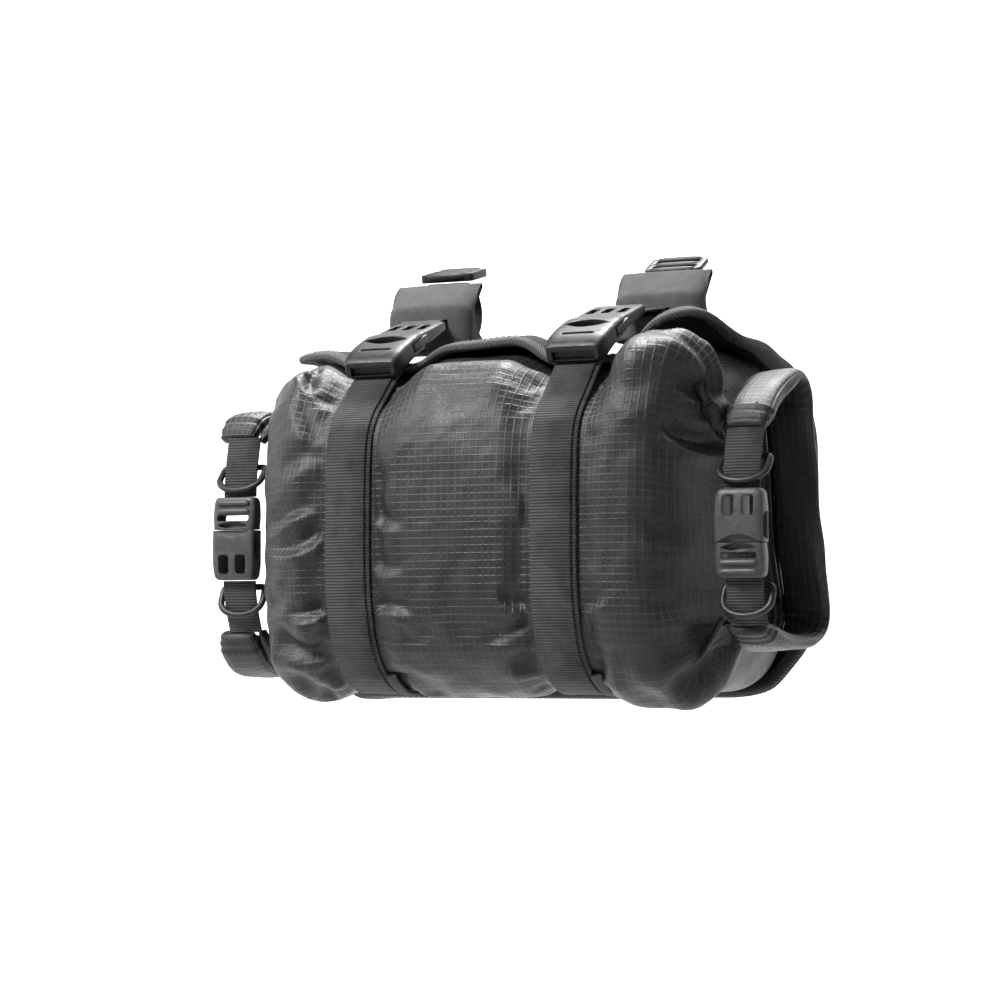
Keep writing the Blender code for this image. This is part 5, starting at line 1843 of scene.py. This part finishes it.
@dataclass
class FoamSpacer:
    """A foam block in front of the bar, with a half-round bed and a slot for the webbing."""

    side: Side
    front: float = 0.0285
    bottom: float = 0.0240
    bed: float = 0.0186
    shoulder: float = 0.0010
    chamfer: float = 0.0180
    top: float = 0.0172
    back: float = 0.0040
    inset: float = 0.0080
    rounding: float = 0.015

    def build(self, finishes: Finishes) -> None:
        """Build the block from soft-cornered profiles and cut the slot."""
        low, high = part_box(f"foam_spacer_{self.side.word}")
        middle, half = (low.x + high.x) / 2.0, (high.x - low.x) / 2.0
        share = np.sin(np.linspace(-math.pi / 2.0, math.pi / 2.0, 46))
        rings = []
        for at in share:
            near = (1.0 - abs(at)) * half
            lift = min(near / self.rounding, 1.0)
            inset = self.inset * (1.0 - math.sqrt(1.0 - (1.0 - lift) ** 2))
            face = -self.front + inset
            corners = [
                (self.back, -self.bottom), (face, -self.bottom), (face, self.shoulder - inset * 0.5),
                (self.chamfer - self.front, self.top - inset * 0.1),
            ]
            soft = rounded_outline(corners + [(0.0, 0.0)], 0.0032, 6)[:-7]
            bed = [
                (self.bed * math.cos(math.radians(d)), self.bed * math.sin(math.radians(d)))
                for d in np.linspace(121.0, 268.0, 30)
            ]
            rings.append([(middle + at * half, y, z) for y, z in soft + bed + [(self.back, -self.bed - 0.0006)]])
        foam = grid_object(f"foam_spacer_{self.side.word}_block", np.array(rings), sharp=50.0)
        b_low, b_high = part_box(f"bar_strap_{self.side.word}")
        slot_x = b_high.x - 0.0127 if self.side is Side.RIGHT else b_low.x + 0.0127
        slot = block("slot", (0.0280, 0.0400, 0.0040), (slot_x, -self.front, -0.0085), Matrix.Identity(4), 0.001)
        foam = carve(foam, [slot], 0.0)
        dress(foam, finishes.foam, [f"foam_spacer_{self.side.word}"])


@dataclass
class LadderLock:
    """The moulded adjuster on the bar strap, on top of the bar."""

    side: Side
    width: float = 0.0345
    bar_radius: float = 0.0159
    rows: tuple[tuple[float, float, float, float, float], ...] = (
        (0.503, 1.459, 14.0, 0.609, 0.139),
        (0.943, 1.384, 30.0, 0.493, 0.093),
    )

    def build(self, finishes: Finishes) -> None:
        """Build the frame with its two slots and raised bars."""
        back, up, lean, long, thick = self.rows[1 if self.side is Side.RIGHT else 0]
        low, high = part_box(f"ladder_lock_{self.side.word}")
        spot = Vector(((low.x + high.x) / 2.0, back * self.bar_radius, up * self.bar_radius))
        place = Matrix.Translation(spot) @ Matrix.Rotation(math.radians(lean), 4, "X")
        half, reach = self.width / 2.0, long * self.width / 2.0
        rim = rounded_outline([(-half, -reach), (half, -reach), (half, reach), (-half, reach)], 0.0034, 6)
        slots = []
        for offset in (-0.25, 0.22):
            y = offset * long * self.width
            slots.append(
                rounded_outline(
                    [(-half + 0.004, y - 0.00185), (half - 0.004, y - 0.00185), (half - 0.004, y + 0.00185), (-half + 0.004, y + 0.00185)],
                    0.0009, 4,
                )
            )
        frame_plate = plate("lock_plate", [rim, *slots], thick * self.width, place, 0.0006)
        bars = [
            moulded(
                f"lock_bar_{k}",
                (Profile(-0.5, 0.86, 0.5, -0.5), Profile(0.0, 1.0, 0.62, -0.5), Profile(0.5, 0.86, 0.5, -0.5)),
                (self.width * 0.84, 0.0030, thick * self.width),
                place @ Matrix.Translation((0.0, y, 0.0005)), 0.5, 9,
            )
            for k, y in enumerate((-reach * 0.86, -0.0003, reach * 0.84))
        ]
        lock = join([frame_plate, *bars], f"ladder_lock_{self.side.word}_frame")
        dress(lock, finishes.plastic, [f"ladder_lock_{self.side.word}"])


@dataclass
class EndClosure:
    """An end's webbing, D-rings and fastened buckle."""

    side: Side
    webbing_width: float = 0.021
    thickness: float = 0.0016
    buckle_width: float = 0.0275
    buckle_depth: float = 0.0110
    buckle_length: float = 0.0465
    wire: float = 0.0019
    ring_height: float = 0.0190
    leans: tuple[float, float] = (math.radians(40.0), math.radians(22.0))
    socket_rows: tuple[Profile, ...] = (
        Profile(-0.20, 1.00, 0.54, -0.50), Profile(0.05, 1.00, 0.58, -0.50), Profile(0.55, 1.00, 0.56, -0.50),
        Profile(0.90, 0.94, 0.48, -0.46), Profile(0.97, 0.88, 0.42, -0.42), Profile(1.00, 0.80, 0.34, -0.36),
    )
    plug_rows: tuple[Profile, ...] = (
        Profile(-1.00, 0.84, 0.30, -0.34), Profile(-0.96, 0.92, 0.36, -0.40), Profile(-0.85, 0.98, 0.40, -0.44),
        Profile(-0.55, 1.00, 0.46, -0.46), Profile(-0.22, 0.96, 0.50, -0.46),
    )

    def node_middle(self, node: str) -> Vector:
        """Middle of one of this end's nodes."""
        low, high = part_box(f"{node}_{self.side.word}")
        return (low + high) / 2.0

    def build(self, finishes: Finishes) -> None:
        """Build the webbing, the rings and the buckle."""
        for part in ("upper", "lower"):
            self.build_webbing(finishes, part)
        for part, lean in zip(("upper", "lower"), self.leans):
            self.build_ring(finishes, part, lean)
        self.build_buckle(finishes)

    def build_webbing(self, finishes: Finishes, part: str) -> None:
        """Build one length of webbing between the roll and the buckle."""
        low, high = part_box(f"closure_webbing_{part}_{self.side.word}")
        middle = (low.x + high.x) / 2.0
        inner_y = high.y - self.thickness / 2.0
        outer_y = low.y + self.thickness / 2.0
        ends = ((outer_y, high.z), (inner_y, low.z)) if part == "lower" else ((inner_y, high.z), (outer_y, low.z))
        if part == "lower":
            ends = ((outer_y, high.z), (inner_y, low.z))
        z = np.linspace(ends[0][1], ends[1][1], 50)
        share = np.linspace(0.0, 1.0, 50)
        bow = np.sin(share * math.pi / 2.0) if part == "upper" else 1.0 - np.cos(share * math.pi / 2.0)
        y = ends[0][0] + (ends[1][0] - ends[0][0]) * bow
        grid = band_grid(np.column_stack([np.full(50, middle), y, z]), self.webbing_width, self.thickness)
        made = grid_object(f"closure_webbing_{part}_{self.side.word}_band", grid, ring_uv(grid), sharp=60.0)
        dress(made, finishes.webbing, [f"closure_webbing_{part}_{self.side.word}"])

    def build_ring(self, finishes: Finishes, part: str, lean: float) -> None:
        """Build one D-ring: a straight bar above and a bow below, leaning out."""
        low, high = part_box(f"d_ring_{part}_{self.side.word}")
        middle = (low + high) / 2.0
        half = (high.x - low.x) / 2.0 - self.wire
        rise = self.ring_height / 2.0
        bow = [(math.cos(a), 0.1 - 0.9 * math.sin(a)) for a in np.linspace(0.0, math.pi, 28)]
        outline = [(-0.86, 1.0), (-0.4, 1.0), (0.0, 1.0), (0.4, 1.0), (0.86, 1.0), (0.985, 0.86), (1.0, 0.5), *bow, (-1.0, 0.5), (-0.985, 0.86)]
        points = np.array([(a * half, b * rise * math.sin(lean) * 1.0, b * rise * math.cos(lean)) for a, b in outline])
        points[:, 1] *= 1.0
        length = running_length(np.vstack([points, points[:1]]))
        wanted = np.linspace(0.0, length[-1], 120, endpoint=False)
        looped = np.vstack([points, points[:1]])
        line = np.stack([np.interp(wanted, length, looped[:, k]) for k in range(3)], 1)
        for _ in range(3):
            line = (np.roll(line, 1, 0) + 2.0 * line + np.roll(line, -1, 0)) / 4.0
        run = unit(np.roll(line, -1, 0) - np.roll(line, 1, 0))
        plane = unit(np.array([0.0, -math.cos(lean), math.sin(lean)]))
        side = unit(np.cross(run, plane))
        ring = np.zeros((len(line), 14, 3))
        for k, angle in enumerate(np.linspace(0.0, math.tau, 14, endpoint=False)):
            around = side * math.cos(angle) * 1.0 + plane * math.sin(angle) * 0.86
            ring[:, k] = np.array(middle) + line + around * self.wire
        made = grid_object(f"d_ring_{part}_{self.side.word}_bow", ring, closed=True)
        dress(made, finishes.plastic, [f"d_ring_{part}_{self.side.word}"])

    def build_buckle(self, finishes: Finishes) -> None:
        """Build the fastened buckle: a fork with two windows and a plug with a ladder bar."""
        socket, plug = self.node_middle("closure_socket"), self.node_middle("closure_plug")
        flip = 1.0 if self.side is Side.RIGHT else -1.0
        s_low, s_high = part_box(f"closure_socket_{self.side.word}")
        p_low, p_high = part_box(f"closure_plug_{self.side.word}")
        middle_z = (max(s_high.z, p_high.z) + min(s_low.z, p_low.z)) / 2.0
        front_y = min(s_low.y, p_low.y) + self.buckle_depth * 0.57
        spot = Vector(((s_low.x + s_high.x) / 2.0, front_y, middle_z))
        axes = Matrix(((1.0, 0.0, 0.0), (0.0, 0.0, -1.0), (0.0, 1.0, 0.0))).to_4x4()
        turn = Matrix.Rotation(0.0 if flip > 0 else math.pi, 4, "Y")
        place = Matrix.Translation(spot) @ turn @ axes
        size = (self.buckle_width, self.buckle_length / 2.0, self.buckle_depth)
        lift = self.buckle_length / 2.0
        fork = moulded(f"closure_socket_{self.side.word}_fork", self.socket_rows, size, place, 0.36)
        cuts = [
            block(f"window_{k}", (0.0068, 0.0110, 0.030), (k * self.buckle_width * 0.20, 0.62 * lift, 0.0), place, 0.0022)
            for k in (-1, 1)
        ]
        for k in (-1, 1):
            side_lens = plate("side", [lens_outline(0.0150, 0.0090)], 0.0060, place @ Matrix.Translation((k * self.buckle_width * 0.5, 0.18 * lift, 0.001)) @ Matrix.Rotation(math.pi / 2.0, 4, "Z"))
            cuts.append(side_lens)
        cuts.append(plate("arch", [lens_outline(self.buckle_width * 0.86, 0.0080)], 0.004, place @ Matrix.Translation((0.0, -0.20 * lift, 0.0060))))
        dress(carve(fork, cuts), finishes.pale_plastic, [f"closure_socket_{self.side.word}"])
        base = moulded(f"closure_plug_{self.side.word}_base", self.plug_rows, size, place, 0.36)
        cuts = [
            block("ladder", (0.0205, 0.0034, 0.030), (0.0, -0.50 * lift, 0.0), place, 0.0014),
            plate("lens", [lens_outline(0.0200, 0.0046)], 0.0050, place @ Matrix.Translation((0.0, -0.32 * lift, 0.0050))),
        ]
        base = carve(base, cuts)
        bars = [
            moulded(
                f"rung_{k}", (Profile(-0.5, 0.9, 0.5, -0.5), Profile(0.0, 1.0, 0.8, -0.5), Profile(0.5, 0.9, 0.5, -0.5)),
                (self.buckle_width * 0.78, 0.0026, 0.0022), place @ Matrix.Translation((0.0, y * lift, 0.0046)), 0.5, 9,
            )
            for k, y in enumerate((-0.66, -0.86))
        ]
        base = join([base, *bars], f"closure_plug_{self.side.word}_base")
        dress(base, finishes.pale_plastic, [f"closure_plug_{self.side.word}"])


# The studio


@dataclass
class Studio:
    """A pale dish-shaped floor, soft lights and the camera."""

    floor_level: float = -0.95
    flat: float = 2.2
    rim: float = 3.3
    height: float = 2.6

    def build(self, finishes: Finishes, view: PhotoCamera) -> None:
        """Build the floor, the lights and the camera."""
        profile = [(0.02, 0.0), (0.8, 0.0), (self.flat, 0.0)]
        for k in range(1, 11):
            angle = math.pi / 2.0 * k / 10
            profile.append((self.flat + (self.rim - self.flat) * math.sin(angle), (self.rim - self.flat) * (1.0 - math.cos(angle))))
        profile.append((self.rim, self.height))
        turns = np.linspace(0.0, math.tau, 96, endpoint=False)
        grid = np.array([[(r * math.cos(a), r * math.sin(a), self.floor_level + z) for a in turns] for r, z in profile])
        mesh = bpy.data.meshes.new("studio_floor")
        rows, cols = grid.shape[:2]
        faces = [
            (r * cols + c, (r + 1) * cols + c, (r + 1) * cols + (c + 1) % cols, r * cols + (c + 1) % cols)
            for r in range(rows - 1)
            for c in range(cols)
        ]
        mesh.from_pydata(grid.reshape(-1, 3).tolist(), [], faces + [list(range(cols))])
        floor = bpy.data.objects.new("studio_floor", mesh)
        bpy.context.scene.collection.objects.link(floor)
        floor.data.shade_smooth()
        floor.data.materials.append(finishes.floor)
        bag = (0.0, -0.04, -0.11)
        self.light("key_light", (-0.75, -1.25, 1.15), bag, 0.6, 54.0)
        self.light("side_light", (-1.7, -0.5, 0.4), bag, 0.9, 6.0)
        self.light("rim_light", (0.9, 1.3, 1.5), bag, 0.9, 14.0)
        self.light("wall_light", (-0.3, 0.9, 1.9), (-1.3, 2.7, -0.6), 1.2, 250.0)
        world = bpy.data.worlds.new("studio_air")
        world.use_nodes = True
        world.node_tree.nodes["Background"].inputs["Color"].default_value = (0.95, 0.97, 1.0, 1.0)
        world.node_tree.nodes["Background"].inputs["Strength"].default_value = 0.12
        bpy.context.scene.world = world
        bpy.context.scene.view_settings.view_transform = "Standard"
        view.make()

    def light(self, name: str, place: Triple, aim: Triple, size: float, power: float) -> None:
        """Hang one round soft light that looks at a place."""
        data = bpy.data.lights.new(name, "AREA")
        data.shape = "DISK"
        data.size = size
        data.energy = power
        lamp = bpy.data.objects.new(name, data)
        lamp.location = place
        lamp.rotation_euler = (Vector(aim) - Vector(place)).to_track_quat("-Z", "Y").to_euler()
        bpy.context.scene.collection.objects.link(lamp)


def main() -> None:
    """Build every sub-assembly in order, then the studio, and note the sizes."""
    logging.basicConfig(level=logging.INFO, format="%(message)s")
    finishes = Finishes()
    form = BagForm()
    view = PhotoCamera()
    BagBody(form, view).build(finishes)
    Harness(form).build(finishes)
    for side in Side:
        ClosureRoll(form, side).build(finishes)
        drop = 0.0045 if side is Side.RIGHT else 0.0080
        FrontStrap(form, side, buckle_drop=drop).build(finishes)
        buckle = TopBuckle(form, side)
        buckle.build(finishes)
        BarStrap(buckle).build(finishes)
        FoamSpacer(side).build(finishes)
        LadderLock(side).build(finishes)
        EndClosure(side).build(finishes)
    Studio().build(finishes, view)
    bpy.context.view_layer.update()


if __name__ == "__main__":
    main()
